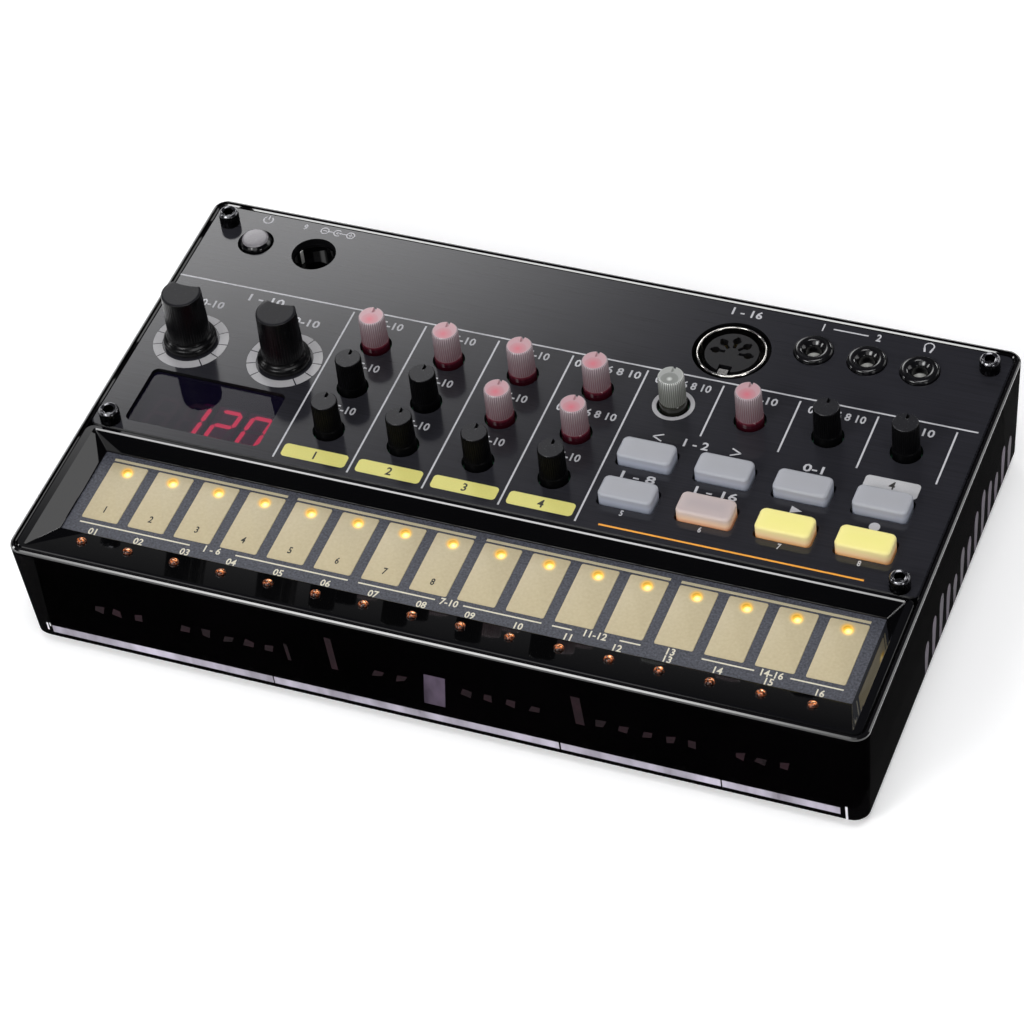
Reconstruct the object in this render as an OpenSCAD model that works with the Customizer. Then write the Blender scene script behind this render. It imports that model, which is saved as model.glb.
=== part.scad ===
// Desktop drum machine. Millimetres, +Z up, origin on the table under the middle of the case.
// X runs along the pads, +Y points to the sockets at the back.

/* [Case] */
// Width of the case at its rim
case_w = 193; // [192:0.5:196]
// Depth of the case at its rim
case_d = 115; // [114.5:0.5:118]
// Height of the case without its feet
case_h = 28.6; // [28.2:0.1:29.5]
// How much each wall leans in towards the floor
case_draft = 1.25; // [0.5:0.05:1.6]
// Radius of the upright corners
corner_r = 3.2; // [2.5:0.1:5]
// Width of the rim around the panel
rim_t = 0.9; // [0.8:0.05:1.1]
// Thickness of the floor
floor_t = 2; // [1.8:0.1:2.4]
// Diameter of a rubber foot
foot_d = 11; // [8:0.5:13]
// Height of a rubber foot
foot_h = 2; // [1:0.5:4]

/* [Panel] */
// Thickness of the metal panel
panel_t = 2; // [1.6:0.1:2.2]
// How far the panel lies below the rim
panel_drop = 0.6; // [0.3:0.1:0.8]
// Gap between the panel and the rim
panel_gap = 0.6; // [0.3:0.1:0.8]
// Front edge of the panel, measured from the middle
panel_front_y = -17.6; // [-17.8:0.1:-17.4]
// Diameter of a panel screw's head
screw_head_d = 4.6; // [4:0.1:5]
// Height of a panel screw's head
screw_head_h = 3.6; // [3:0.1:4.5]

/* [Knobs] */
// Distance between the columns of controls
col_pitch = 17.566; // [17.4:0.01:17.7]
// Place of the first column
col_first_x = -42.44; // [-43:0.01:-42]
// Distance between the rows of small knobs
row_pitch = 13.7; // [13.4:0.1:13.9]
// Place of the back row of small knobs
row_first_y = 22.2; // [21.8:0.1:22.6]
// Diameter of a small knob at its foot
knob_d = 6.2; // [5.8:0.1:6.4]
// Height of a small knob above the panel
knob_h = 9.1; // [8:0.1:10]
// Flutes around a small knob
knob_flutes = 30; // [20:2:36]
// Diameter of a large knob's skirt
dial_skirt_d = 12; // [11:0.1:12.6]
// Diameter of a large knob's grip at its foot
dial_grip_d = 9.6; // [9:0.1:10]
// Height of a large knob above the panel
dial_h = 15; // [13:0.5:17]
// Grooves around a large knob
dial_grooves = 44; // [30:2:50]
// Places of the large knobs across the panel
dial_xs = [-83.5, -60.5]; // [-84:0.1:-60]
// Place of the large knobs along the panel
dial_y = 12.3; // [12:0.1:12.6]

/* [Keys] */
// Width of a key at its foot
key_w = 12.2; // [11:0.1:12.6]
// Depth of a key at its foot
key_l = 6.2; // [5.6:0.1:6.4]
// Height of a key above the panel
key_h = 3; // [2:0.1:3.5]
// Place of the back row of keys
key_first_y = 5.35; // [5:0.05:5.6]
// Distance between the rows of keys
key_row_pitch = 12; // [11.5:0.1:12.2]
// How far a key travels
key_travel = 0.6; // [0.3:0.1:0.6]
// How far the power button travels
power_travel = 1.5; // [1:0.1:1.5]

/* [Pads] */
// Number of touch pads
pad_count = 16; // [16]
// Distance between pads
pad_pitch = 11; // [10.8:0.05:11]
// Width of a pad
pad_w = 8.57; // [8:0.01:8.8]
// Length of a pad
pad_l = 16.9; // [16:0.1:17]
// Middle of the pads, measured from the middle of the case
pad_y = -32.3; // [-32.5:0.05:-32.2]
// How far the pad sheet lies below the rim
sheet_drop = 4.6; // [4.4:0.1:4.8]

/* [Display] */
// Width of the display opening
window_w = 32.4; // [31:0.1:32.6]
// Depth of the display opening
window_l = 16.6; // [15:0.1:16.8]
// Middle of the display opening across the panel
window_x = -71.8; // [-72:0.1:-71.6]
// Middle of the display opening along the panel
window_y = -6; // [-6.2:0.1:-5.8]

/* [Sockets] */
// Places of the 3.5 mm sockets across the panel
jack_xs = [52, 64.2, 76.2]; // [52:0.1:77]
// Place of the 3.5 mm sockets, inlet and power button along the panel
jack_y = 46.2; // [46:0.1:46.4]
// Bore of a 3.5 mm socket
jack_bore_d = 3.6; // [3.55:0.01:3.7]
// Place of the power inlet across the panel
inlet_x = -67.6; // [-68:0.1:-67.2]
// Diameter of the well over the power inlet
inlet_well_d = 10.3; // [10:0.1:10.6]
// Diameter of the power inlet's centre pin
inlet_pin_d = 2; // [1.6:0.1:2.5]
// Place of the power button across the panel
power_x = -82.2; // [-82.5:0.1:-82]
// Middle of the round five pin socket
din_pos = [34.64, 41.5]; // [34:0.01:42]
// Outside diameter of the round socket's metal shell
din_d = 16; // [15.5:0.1:16.2]

/* [Hidden] */
$fn = 48;
hull_fn = 32;
eps = 0.01;

// Levels, all measured from the table
base_z = foot_h;
floor_z = base_z + floor_t;
rim_z = base_z + case_h;
panel_z = rim_z - panel_drop;
panel_low_z = panel_z - panel_t;
surround_z = rim_z - 0.4;
sheet_z = rim_z - sheet_drop;
key_board_z = sheet_z - 1.6;
board_z = panel_low_z - 6.8;
socket_board_z = base_z + 13;
board_t = 1.6;

// Cavity of the case
cavity_w = case_w - 6.6;
cavity_d = case_d - 6.6;
pocket_w = case_w - 2 * rim_t;
pocket_d = case_d - 2 * rim_t;
boss_xy = [[-1, 50.8], [1, 50.8], [-1, -15.4], [1, -15.4]];
boss_x = 90.65;
boss_d = 4;

// Plan of the panel and of the pad surround
panel_w = pocket_w - 2 * panel_gap;
panel_back_y = pocket_d / 2 - panel_gap;
surround_back_y = panel_front_y - 0.3;
surround_front_y = -panel_back_y;
well_top = [[-92.8, -54.8], [92.8, -19]];
well_low = [[-89.6, -45.3], [89.6, -21.3]];
well_low_z = sheet_z + 0.4;

// Battery compartment: two rows end to end, three side by side
bay_w = 109;
bay_d = 45;
bay_y = 9;
bay_wall = 1.4;
bay_top_z = floor_z + 15;
door_w = bay_w + 4;
door_d = bay_d + 4;
door_gap = 0.4;

// Loudspeaker
speaker_x = -75.2;
speaker_y = 9;
speaker_d = 31;

// Screw posts under the boards
main_post_xy = [[-54, -9], [54, -9], [-54, 29.5], [54, 29.5]];
socket_post_xy = [[-85, 38.5], [-20, 38.5], [20, 38.5], [85, 38.5]];
key_post_xy = [[-85, -24], [0, -24], [85, -24], [-60, -50], [60, -50]];
post_d = 5;

// Controls
cols = 8;
knob_hole_d = knob_d + 1;
dial_hole_d = 8;
shaft_d = 4;
dial_shaft_d = 6;
running_gap = 0.1;
pot_h = 4.6;
switch_h = 3.4;
stem_d = 3.4;
power_switch_z = panel_low_z - 3.6;
power_cap_d = 7.4;
power_hole_d = 8.4;
jack_hole_d = 9;
din_hole_d = din_d + 1.6;
din_pin_r = 3.75;
din_wall = 0.65;
pin_angles = [0, 45, 90, 135, 180];
slope_light_y = -49;
digit_pitch = 7.5;

function col_x(i) = col_first_x + col_pitch * i;
function row_y(j) = row_first_y - row_pitch * j;
function key_y(j) = key_first_y - key_row_pitch * j;
function pad_x(i) = (i - (pad_count - 1) / 2) * pad_pitch;

// Small knobs: the whole back row, then two more rows in the first four columns
knob_places = concat(
    [for (i = [0:cols - 1]) [col_x(i), row_y(0)]],
    [for (j = [1, 2], i = [0:3]) [col_x(i), row_y(j)]]
);
key_places = [for (j = [0, 1], i = [4:7]) [col_x(i), key_y(j)]];
clear_knobs = [0, 1, 2, 3, 4, 5, 10, 11];

// Flat shapes and helpers

module rounded_rect(w, d, r) {
    square([w - 2 * r, d], center = true);
    square([w, d - 2 * r], center = true);
    for (x = [-1, 1], y = [-1, 1]) translate([x * (w / 2 - r), y * (d / 2 - r)]) circle(r);
}

// A slab of a rounded rectangle, from z0 to z1
module slab(w, d, r, z0, z1) {
    translate([0, 0, z0]) linear_extrude(z1 - z0) rounded_rect(w, d, r);
}

module rod(d, z0, z1) {
    translate([0, 0, z0]) cylinder(d = d, h = z1 - z0);
}

// A plate between two opposite corners
module block(low, high, z0, z1) {
    translate([low[0], low[1], z0]) cube([high[0] - low[0], high[1] - low[1], z1 - z0]);
}

// A shape with n flutes cut into its edge
module fluted(d, n, depth) {
    polygon([for (i = [0:2 * n - 1]) let (a = i * 180 / n, r = d / 2 - (i % 2) * depth) [r * sin(a), r * cos(a)]]);
}

module at_bosses() {
    for (p = boss_xy) translate([p[0] * boss_x, p[1], 0]) children();
}

// Case

// Outside of the tub: it leans in to the floor and its rim and foot are rounded
module case_outside() {
    function inset(z) = case_draft * (rim_z - z) / case_h;
    steps = [[base_z, 0.9], [base_z + 0.3, 0.35], [base_z + 1, 0], [rim_z - 0.9, 0], [rim_z - 0.3, 0.25], [rim_z, 0.8]];
    hull() for (s = steps) {
        in = inset(s[0]) + s[1];
        slab(case_w - 2 * in, case_d - 2 * in, corner_r, min(s[0], rim_z - eps), min(s[0], rim_z - eps) + eps, $fn = hull_fn);
    }
}

module case_ribs() {
    rib_t = 1;
    rib_out = 1.1;
    for (i = [-7:7], y = [-1, 1]) translate([i * pad_pitch, y * cavity_d / 2, floor_z + 5])
        cube([rib_t, 2 * rib_out, 10 + eps], center = true);
    for (i = [-5:5], x = [-1, 1]) translate([x * cavity_w / 2, i * 8, floor_z + 7])
        cube([2 * rib_out, rib_t, 14 + eps], center = true);
    // Webs that tie the screw bosses to the side walls
    for (p = boss_xy) translate([p[0] * cavity_w / 2, p[1], (floor_z + panel_low_z) / 2])
        cube([3, 1.2, panel_low_z - floor_z + eps], center = true);
}

module battery_bay() {
    ledge = 2.6;
    translate([0, bay_y, 0]) difference() {
        union() {
            slab(door_w + 2 * bay_wall, door_d + 2 * bay_wall, 1.5, floor_z - eps, floor_z + ledge);
            slab(bay_w + 2 * bay_wall, bay_d + 2 * bay_wall, 1.5, floor_z - eps, bay_top_z + bay_wall);
        }
        slab(bay_w, bay_d, 0.8, base_z, bay_top_z);
    }
    // Ridges that keep the three rows of cells apart
    for (y = [-1, 1]) translate([0, bay_y + y * bay_d / 6, bay_top_z - 1]) cube([bay_w - 20, 0.8, 2], center = true);
}

module posts() {
    for (p = main_post_xy) translate(p) rod(post_d, bay_top_z, board_z);
    for (p = socket_post_xy) translate(p) rod(post_d, floor_z - eps, socket_board_z);
    for (p = key_post_xy) translate(p) rod(post_d, floor_z - eps, key_board_z - board_t);
}

// Holes for the screws of the main and socket boards
module post_holes(d, depth) {
    for (p = main_post_xy) translate(p) rod(d, board_z - depth / 4, board_z + board_t + eps);
    for (p = socket_post_xy) translate(p) rod(d, socket_board_z - depth, socket_board_z + board_t + eps);
}

module speaker_slots() {
    for (i = [-4:4]) translate([speaker_x + i * 3, speaker_y, 0]) slab(1.5, 25 - abs(i) * 2.6, 0.7, base_z - 1, floor_z + 1);
}

module case_tub() {
    color([0.07, 0.06, 0.08])
    difference() {
        union() {
            difference() {
                case_outside();
                slab(cavity_w, cavity_d, 2, floor_z, rim_z + 1);
                slab(pocket_w, pocket_d, 2.4, panel_low_z, rim_z + 1);
            }
            intersection() {
                union() {
                    case_ribs();
                    at_bosses() rod(boss_d, floor_z - eps, panel_low_z);
                    posts();
                    translate([speaker_x, speaker_y, 0]) difference() {
                        rod(speaker_d + 3, floor_z - eps, floor_z + 2);
                        rod(speaker_d + 0.6, base_z, floor_z + 3);
                    }
                }
                slab(cavity_w + 1, cavity_d + 1, 2, base_z, panel_low_z);
            }
            battery_bay();
        }
        translate([0, bay_y, 0]) {
            slab(door_w, door_d, 1.2, base_z - 1, floor_z);
            slab(bay_w, bay_d, 0.8, base_z - 1, floor_z + 5);
        }
        // Thumb notch beside the door
        translate([0, bay_y - door_d / 2, 0]) slab(16, 6, 2.5, base_z - 1, base_z + 1);
        at_bosses() rod(2.6, panel_low_z - 10, panel_low_z + 1);
        post_holes(1.8, 6);
        speaker_slots();
    }
}

module rubber_feet() {
    color([0.05, 0.05, 0.05])
    for (x = [-1, 1], y = [-1, 1]) translate([x * 83, y * 45, 0])
        rotate_extrude() polygon([[0, 0], [foot_d / 2 - 0.8, 0], [foot_d / 2 - 0.2, 0.6], [foot_d / 2, base_z], [0, base_z]]);
}

module battery_door() {
    w = door_w - 2 * door_gap;
    d = door_d - 2 * door_gap;
    color([0.07, 0.06, 0.08])
    translate([0, bay_y, 0]) difference() {
        union() {
            slab(w, d, 1, base_z, floor_z - 0.05);
            // Lip that centres the door in the bay
            difference() {
                slab(bay_w - 1, bay_d - 1, 0.8, floor_z - 0.1, floor_z + 1.2);
                slab(bay_w - 3.4, bay_d - 3.4, 0.6, floor_z - 1, floor_z + 2);
            }
        }
        // Grip grooves by the thumb notch
        for (i = [0:4]) translate([0, -d / 2 + 5 + i * 2, base_z]) cube([18, 0.9, 1], center = true);
    }
}

module battery_contacts() {
    t = 0.4;
    color([0.75, 0.75, 0.72])
    for (j = [-1:1]) translate([0, bay_y + j * bay_d / 3, 0]) {
        translate([-bay_w / 2 + 0.1, -4.5, floor_z + 3]) cube([t, 9, 9]);
        // Bent leaf that presses on the cell
        translate([bay_w / 2 - 0.1, 4, floor_z + 3]) rotate([90, 0, 0]) linear_extrude(8)
            polygon([[0, 0], [0, 9], [-t, 9], [-t, 6.2], [-2.6, 4.2], [-t, 0.9], [-t, 0]]);
    }
}

// Panel

module panel_holes() {
    z0 = panel_low_z - 1;
    z1 = panel_z + 1;
    for (p = knob_places) translate(p) rod(knob_hole_d, z0, z1);
    for (p = key_places) translate(p) slab(key_w + 0.8, key_l + 0.8, 1.2, z0, z1);
    for (x = dial_xs) translate([x, dial_y]) rod(dial_hole_d, z0, z1);
    for (x = jack_xs) translate([x, jack_y]) rod(jack_hole_d, z0, z1);
    translate([power_x, jack_y]) rod(power_hole_d, z0, z1);
    translate([inlet_x, jack_y - 0.2]) rod(inlet_well_d, z0, z1);
    translate(din_pos) rod(din_hole_d, z0, z1);
    translate([window_x, window_y]) slab(window_w, window_l, 1.5, z0, z1);
    at_bosses() rod(3.4, z0, z1);
}

module control_panel() {
    edge = 0.3;
    mid_y = (panel_back_y + panel_front_y) / 2;
    depth = panel_back_y - panel_front_y;
    color([0.27, 0.27, 0.29])
    difference() {
        translate([0, mid_y, 0]) hull() {
            slab(panel_w, depth, 2, panel_low_z, panel_z - edge, $fn = hull_fn);
            slab(panel_w - 2 * edge, depth - 2 * edge, 1.8, panel_low_z, panel_z, $fn = hull_fn);
        }
        panel_holes();
    }
}

module panel_screws() {
    socket_af = 2.3;
    color([0.08, 0.08, 0.09])
    at_bosses() difference() {
        union() {
            rotate_extrude() polygon([
                [0, panel_z], [screw_head_d / 2, panel_z], [screw_head_d / 2, panel_z + screw_head_h - 0.5],
                [screw_head_d / 2 - 0.4, panel_z + screw_head_h], [0, panel_z + screw_head_h]
            ]);
            rod(2.4, panel_low_z - 8, panel_z + eps);
        }
        translate([0, 0, panel_z + screw_head_h - 2]) cylinder(d = socket_af / cos(30), h = 3, $fn = 6);
        translate([0, 0, panel_z + screw_head_h - 0.3]) cylinder(d1 = socket_af, d2 = socket_af + 0.9, h = 0.3 + eps);
    }
}

// Pad area

module between_corners(low, high, r, z0, z1) {
    translate([(low[0] + high[0]) / 2, (low[1] + high[1]) / 2, 0]) slab(high[0] - low[0], high[1] - low[1], r, z0, z1);
}

// Frustum of the sunken well: wide at the top, narrow at the pad sheet
module well() {
    hull() {
        between_corners(well_top[0], well_top[1], 0.4, surround_z, surround_z + eps, $fn = hull_fn);
        between_corners(well_low[0], well_low[1], 0.3, well_low_z, well_low_z + eps, $fn = hull_fn);
    }
    between_corners(well_low[0], well_low[1], 0.3, sheet_z - 1, well_low_z + 0.1);
    between_corners(well_top[0], well_top[1], 0.4, surround_z, surround_z + 1);
}

// Angle of the surround's front slope
slope_angle = atan((surround_z - well_low_z) / (well_low[0][1] - well_top[0][1]));
slope_light_z = well_low_z + (well_low[0][1] - slope_light_y) * tan(slope_angle);

module at_slope_lights() {
    for (i = [0:pad_count - 1]) translate([pad_x(i), slope_light_y, slope_light_z]) rotate([-slope_angle, 0, 0]) children();
}

module pad_surround() {
    low = [-cavity_w / 2 + 0.4, -cavity_d / 2 + 0.4];
    high = [cavity_w / 2 - 0.4, panel_front_y - 0.8];
    color([0.03, 0.03, 0.035])
    difference() {
        union() {
            between_corners([-panel_w / 2, surround_front_y], [panel_w / 2, surround_back_y], 2, panel_low_z, surround_z);
            between_corners(low, high, 1.8, sheet_z, panel_low_z + eps);
        }
        well();
        at_slope_lights() translate([0, 0, -1.3]) cylinder(d = 2, h = 4, $fn = 24);
    }
}

module slope_lights() {
    color([0.95, 0.55, 0.15])
    at_slope_lights() {
        translate([0, 0, -1.2]) cylinder(d = 1.8, h = 1.1, $fn = 24);
        translate([0, 0, -0.1 - eps]) cylinder(d1 = 1.8, d2 = 1, h = 0.4, $fn = 24);
    }
}

sheet_low = [-91.6, -52.6];
sheet_high = [91.6, -19.4];

module pad_sheet() {
    color([0.28, 0.29, 0.33])
    difference() {
        between_corners(sheet_low, sheet_high, 1, key_board_z, sheet_z - 0.02);
        for (i = [0:pad_count - 1]) translate([pad_x(i), pad_y, 0]) slab(pad_w + 0.1, pad_l + 0.1, 0.5, key_board_z - 1, sheet_z + 1);
    }
}

module touch_pads() {
    color([0.81, 0.75, 0.6])
    for (i = [0:pad_count - 1]) translate([pad_x(i), pad_y, 0]) slab(pad_w, pad_l, 0.45, sheet_z - 0.7, sheet_z + 0.06);
}

module pad_lights() {
    color([0.95, 0.8, 0.2])
    for (i = [0:pad_count - 1]) translate([pad_x(i), pad_y + 6.2, key_board_z]) {
        translate([-1, -0.6, 0]) cube([2, 1.2, 0.3]);
        rod(1, 0.3 - eps, 0.8);
    }
}

// Display

// Window: a plug of tinted plastic in the panel's opening, on a flange that bears on the panel from below
module display_window() {
    flange = 0.8;
    play = 0.15;
    glass_z = panel_z - 0.9;
    color([0.1, 0.02, 0.03])
    translate([window_x, window_y, 0]) {
        slab(window_w + 2 * flange, window_l + 2 * flange, 2, panel_low_z - 1.4, panel_low_z);
        slab(window_w - 2 * play, window_l - 2 * play, 1.5 - play, panel_low_z - 0.5, glass_z);
    }
}

module display_module() {
    top_z = panel_z - 3.8;
    color([0.12, 0.12, 0.13])
    translate([window_x + 0.5, window_y - 0.7, 0]) difference() {
        slab(30.2, 14, 0.4, board_z + board_t, top_z);
        // Shallow recess of each digit
        for (i = [-1.5:1.5]) translate([i * digit_pitch, 0, 0]) slab(6.4, 11, 0.5, top_z - 0.3, top_z + 1);
    }
}

// Boards

module main_board() {
    color([0.1, 0.3, 0.16])
    difference() {
        between_corners([-90, -16.8], [90, 32.6], 1.5, board_z, board_z + board_t);
        at_bosses() rod(boss_d + 1.4, board_z - 1, board_z + 3);
        post_holes(2.2, 1);
    }
}

module key_board() {
    color([0.1, 0.3, 0.16])
    between_corners(sheet_low, sheet_high, 1, key_board_z - board_t, key_board_z - 0.02);
}

module socket_board() {
    color([0.1, 0.3, 0.16])
    difference() {
        between_corners([-91, 35], [91, 53.4], 1.5, socket_board_z, socket_board_z + board_t);
        at_bosses() rod(boss_d + 1.4, socket_board_z - 1, socket_board_z + 3);
        post_holes(2.2, 1);
        for (x = jack_xs, i = [-1:1]) translate([x + i * 2.5, jack_y - 3, 0]) rod(1.2, socket_board_z - 1, socket_board_z + 3);
        for (a = pin_angles) translate([din_pos[0], din_pos[1], 0]) rotate(a) translate([din_pin_r, 0, 0])
            rod(1.4, socket_board_z - 1, socket_board_z + 3);
    }
}

// Flat cable: a thin band that hangs from the main board's front edge and turns up to the key board
module flat_cable() {
    t = 0.4;
    y0 = -15.6;
    y1 = -26;
    low_z = board_z - 5;
    color([0.75, 0.75, 0.78])
    translate([30, 0, 0]) rotate([90, 0, 90]) linear_extrude(16) polygon([
        [y0, board_z - 0.1], [y0, low_z + 0.6], [y0 - 0.6, low_z], [y1 + 0.6, low_z], [y1, low_z + 0.6],
        [y1, key_board_z - board_t - 0.1], [y1 + t, key_board_z - board_t - 0.1], [y1 + t, low_z + 0.6 + t],
        [y1 + 0.6, low_z + t], [y0 - 0.6, low_z + t], [y0 - t, low_z + 0.6 + t], [y0 - t, board_z - 0.1]
    ]);
}

module chips() {
    color([0.06, 0.06, 0.07])
    for (c = [[72, 16, 12], [72, -4, 10], [-74, -6, 8]]) translate([c[0], c[1], 0]) difference() {
        slab(c[2], c[2], 0.4, board_z - 1.4, board_z);
        translate([-c[2] / 2 + 1.4, c[2] / 2 - 1.4, board_z - 1.5]) cylinder(d = 1, h = 0.3);
    }
}

module capacitors() {
    color([0.2, 0.2, 0.35])
    for (i = [0:5]) translate([-48 + i * 11, 46, socket_board_z + board_t]) rotate_extrude()
        polygon([[0, 0], [3.1, 0], [3.1, 0.8], [2.9, 1], [3.1, 1.2], [3.1, 7], [2.8, 7.3], [0, 7.3]]);
}

module pot_bodies() {
    z0 = board_z + board_t;
    color([0.3, 0.45, 0.35])
    {
        for (p = knob_places) translate(p) difference() {
            slab(9.6, 9.6, 0.8, z0, z0 + pot_h);
            rod(shaft_d + running_gap, z0 + 0.8, z0 + pot_h + 1);
        }
        for (x = dial_xs) translate([x, dial_y]) difference() {
            slab(11, 11, 0.8, z0, z0 + 5.2);
            rod(dial_shaft_d + running_gap, z0 + 1, z0 + 6);
        }
    }
}

module switch_bodies() {
    z0 = board_z + board_t;
    color([0.15, 0.15, 0.16])
    {
        for (p = key_places) translate(p) difference() {
            slab(6, 6, 0.4, z0, z0 + switch_h);
            rod(stem_d + running_gap, z0 + 0.4, z0 + switch_h + 1);
        }
        translate([power_x, jack_y]) difference() {
            slab(8, 8, 0.6, socket_board_z + board_t, power_switch_z);
            rod(shaft_d + running_gap, socket_board_z + board_t + 1, panel_z);
        }
    }
}

module key_lights() {
    color([0.95, 0.9, 0.6])
    for (p = key_places, x = [-4.3, 4.3]) translate([p[0] + x, p[1], board_z + board_t]) {
        translate([-0.8, -1, 0]) cube([1.6, 2, 0.5]);
        rod(1.2, 0.5 - eps, 1.1);
    }
}

module knob_lights() {
    color([0.9, 0.2, 0.25])
    for (i = clear_knobs) translate([knob_places[i][0] + 3.6, knob_places[i][1] + 3.6, board_z + board_t + pot_h])
        slab(1, 1, 0.2, 0, 0.5);
}

// Controls

// Small knob: fluted, slightly tapered grip on a smooth foot, with a pointer slot at the back of its top
module small_knob() {
    top_z = panel_z + knob_h;
    foot_z = panel_z + 2;
    low_z = panel_low_z - 0.2;
    shaft_z = board_z + board_t + 1;
    difference() {
        union() {
            intersection() {
                translate([0, 0, foot_z - eps]) linear_extrude(top_z - foot_z + eps) fluted(knob_d - 0.2, knob_flutes, 0.22);
                rotate_extrude() polygon([
                    [0, foot_z - eps], [knob_d / 2, foot_z - eps], [knob_d / 2 - 0.2, top_z - 0.35],
                    [knob_d / 2 - 0.5, top_z], [0, top_z]
                ]);
            }
            rotate_extrude() polygon([
                [0, low_z], [knob_d / 2, low_z], [knob_d / 2, foot_z - 0.3], [knob_d / 2 - 0.2, foot_z], [0, foot_z]
            ]);
            rod(shaft_d, shaft_z, low_z + eps);
        }
        translate([-0.3, knob_d / 2 - 1.9, top_z - 0.7]) cube([0.6, 2.5, 1]);
    }
}

// Large knob: grooved grip with a leaning flat that points, standing on a round skirt
module large_knob() {
    top_z = panel_z + dial_h;
    skirt_z = panel_z + 0.4;
    grip_z = skirt_z + 2.2;
    flat_foot = 3.7;
    flat_top = 2.85;
    lean = atan((flat_foot - flat_top) / (top_z - grip_z));
    difference() {
        union() {
            difference() {
                rotate_extrude() polygon([
                    [0, skirt_z], [dial_grip_d / 2, skirt_z], [dial_grip_d / 2, grip_z + 0.6],
                    [dial_grip_d / 2 - 0.3, top_z - 0.5], [dial_grip_d / 2 - 0.75, top_z], [0, top_z]
                ]);
                for (i = [0:dial_grooves - 1]) rotate(i * 360 / dial_grooves)
                    translate([0, dial_grip_d / 2 + 0.02, grip_z + 0.3]) rotate([1.4, 0, 0])
                        cylinder(r = 0.2, h = dial_h, $fn = 4);
                translate([0, flat_foot, grip_z - 1]) rotate([lean, 0, 0]) translate([-8, 0, 0]) cube([16, 8, 2 * dial_h]);
            }
            rotate_extrude() {
                r = dial_skirt_d / 2;
                polygon([
                    [0, skirt_z], [r - 0.2, skirt_z], [r, skirt_z + 0.2], [r, skirt_z + 1], [r - 0.3, skirt_z + 1.5],
                    [r - 0.8, grip_z - 0.3], [r - 1.1, grip_z], [0, grip_z]
                ]);
            }
            rod(dial_shaft_d, board_z + board_t + 1.2, skirt_z + eps);
        }
    }
}

function is_clear(i) = len(search(i, clear_knobs)) > 0;

module knob(i) {
    color(is_clear(i) ? [0.8, 0.55, 0.56] : [0.06, 0.06, 0.065]) translate(knob_places[i]) small_knob();
}

module dial(i) {
    color([0.06, 0.06, 0.065]) translate([dial_xs[i], dial_y]) large_knob();
}

// Upright outline with rounded top corners
module round_topped(w, r, z0, z1) {
    arc = [for (a = [0:15:90]) [w / 2 - r + r * cos(a), z1 - r + r * sin(a)]];
    polygon(concat([[-w / 2, z0], [w / 2, z0]], arc, [for (i = [len(arc) - 1:-1:0]) [-arc[i][0], arc[i][1]]]));
}

// Key cap: three outlines crossed into a soft edged block, hollow below, with a round stem
module key(i) {
    z0 = board_z + board_t + switch_h + key_travel + 0.1;
    top_z = panel_z + key_h;
    edge_r = 1.1;
    // The two upright outlines stand a little outside the plan, so that no faces coincide
    spare = 0.1;
    color(i > 5 ? [0.94, 0.9, 0.5] : [0.66, 0.67, 0.69])
    translate(key_places[i]) {
        difference() {
            intersection() {
                slab(key_w, key_l, edge_r, z0, top_z + 1);
                rotate([90, 0, 0]) linear_extrude(2 * key_l, center = true)
                    round_topped(key_w + spare, edge_r, z0 - 1, top_z);
                rotate([90, 0, 90]) linear_extrude(2 * key_w, center = true)
                    round_topped(key_l + spare, edge_r, z0 - 1, top_z + spare / 4);
            }
            slab(key_w - 1.6, key_l - 1.6, 0.6, z0 - 1, top_z - 1.4);
        }
        rod(stem_d, board_z + board_t + key_travel + 0.5, top_z - 1);
    }
}

module power_button() {
    z0 = power_switch_z + power_travel + 0.7;
    top_z = panel_z + 1.5;
    r = power_cap_d / 2;
    color([0.52, 0.52, 0.54])
    translate([power_x, jack_y]) {
        rotate_extrude() polygon([
            [0, z0], [r, z0], [r, top_z - 0.9], [r - 0.15, top_z - 0.45], [r - 0.5, top_z - 0.15],
            [r - 1.2, top_z - 0.05], [0, top_z]
        ]);
        rod(shaft_d, power_switch_z - power_travel - 3.4, z0 + eps);
    }
}

// Sockets

module din_shell() {
    z0 = socket_board_z + board_t;
    z1 = panel_z - 0.1;
    color([0.78, 0.78, 0.8])
    translate([din_pos[0], din_pos[1], 0]) {
        difference() {
            rod(din_d, z0, z1);
            rod(din_d - 2 * din_wall, z0 - 1, z1 + 1);
            translate([0, 0, z1 - 0.2]) cylinder(d1 = din_d - 2 * din_wall, d2 = din_d - 2 * din_wall + 0.4, h = 0.2 + eps);
        }
        // Key tab at the front of the ring
        translate([-1.1, -din_d / 2 + din_wall - 0.1, z0 + 6]) cube([2.2, 2, z1 - z0 - 6.4]);
    }
}

module din_insert() {
    z0 = socket_board_z + board_t;
    z1 = panel_z - 0.65;
    core_d = 12;
    color([0.04, 0.04, 0.045])
    translate([din_pos[0], din_pos[1], 0]) difference() {
        union() {
            rod(din_d - 2 * din_wall - 0.2, z0, z0 + 3);
            rod(core_d, z0, z1);
        }
        for (a = pin_angles) rotate(a) translate([din_pin_r, 0, 0]) {
            rod(1.9, z0 + 1, z1 + 1);
            translate([-2.2, -0.4, z1 - 1.6]) cube([3.45, 0.8, 3]);
        }
        translate([-1.5, -din_d / 2, z0 + 3.5]) cube([3, 3.9, z1]);
    }
}

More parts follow.
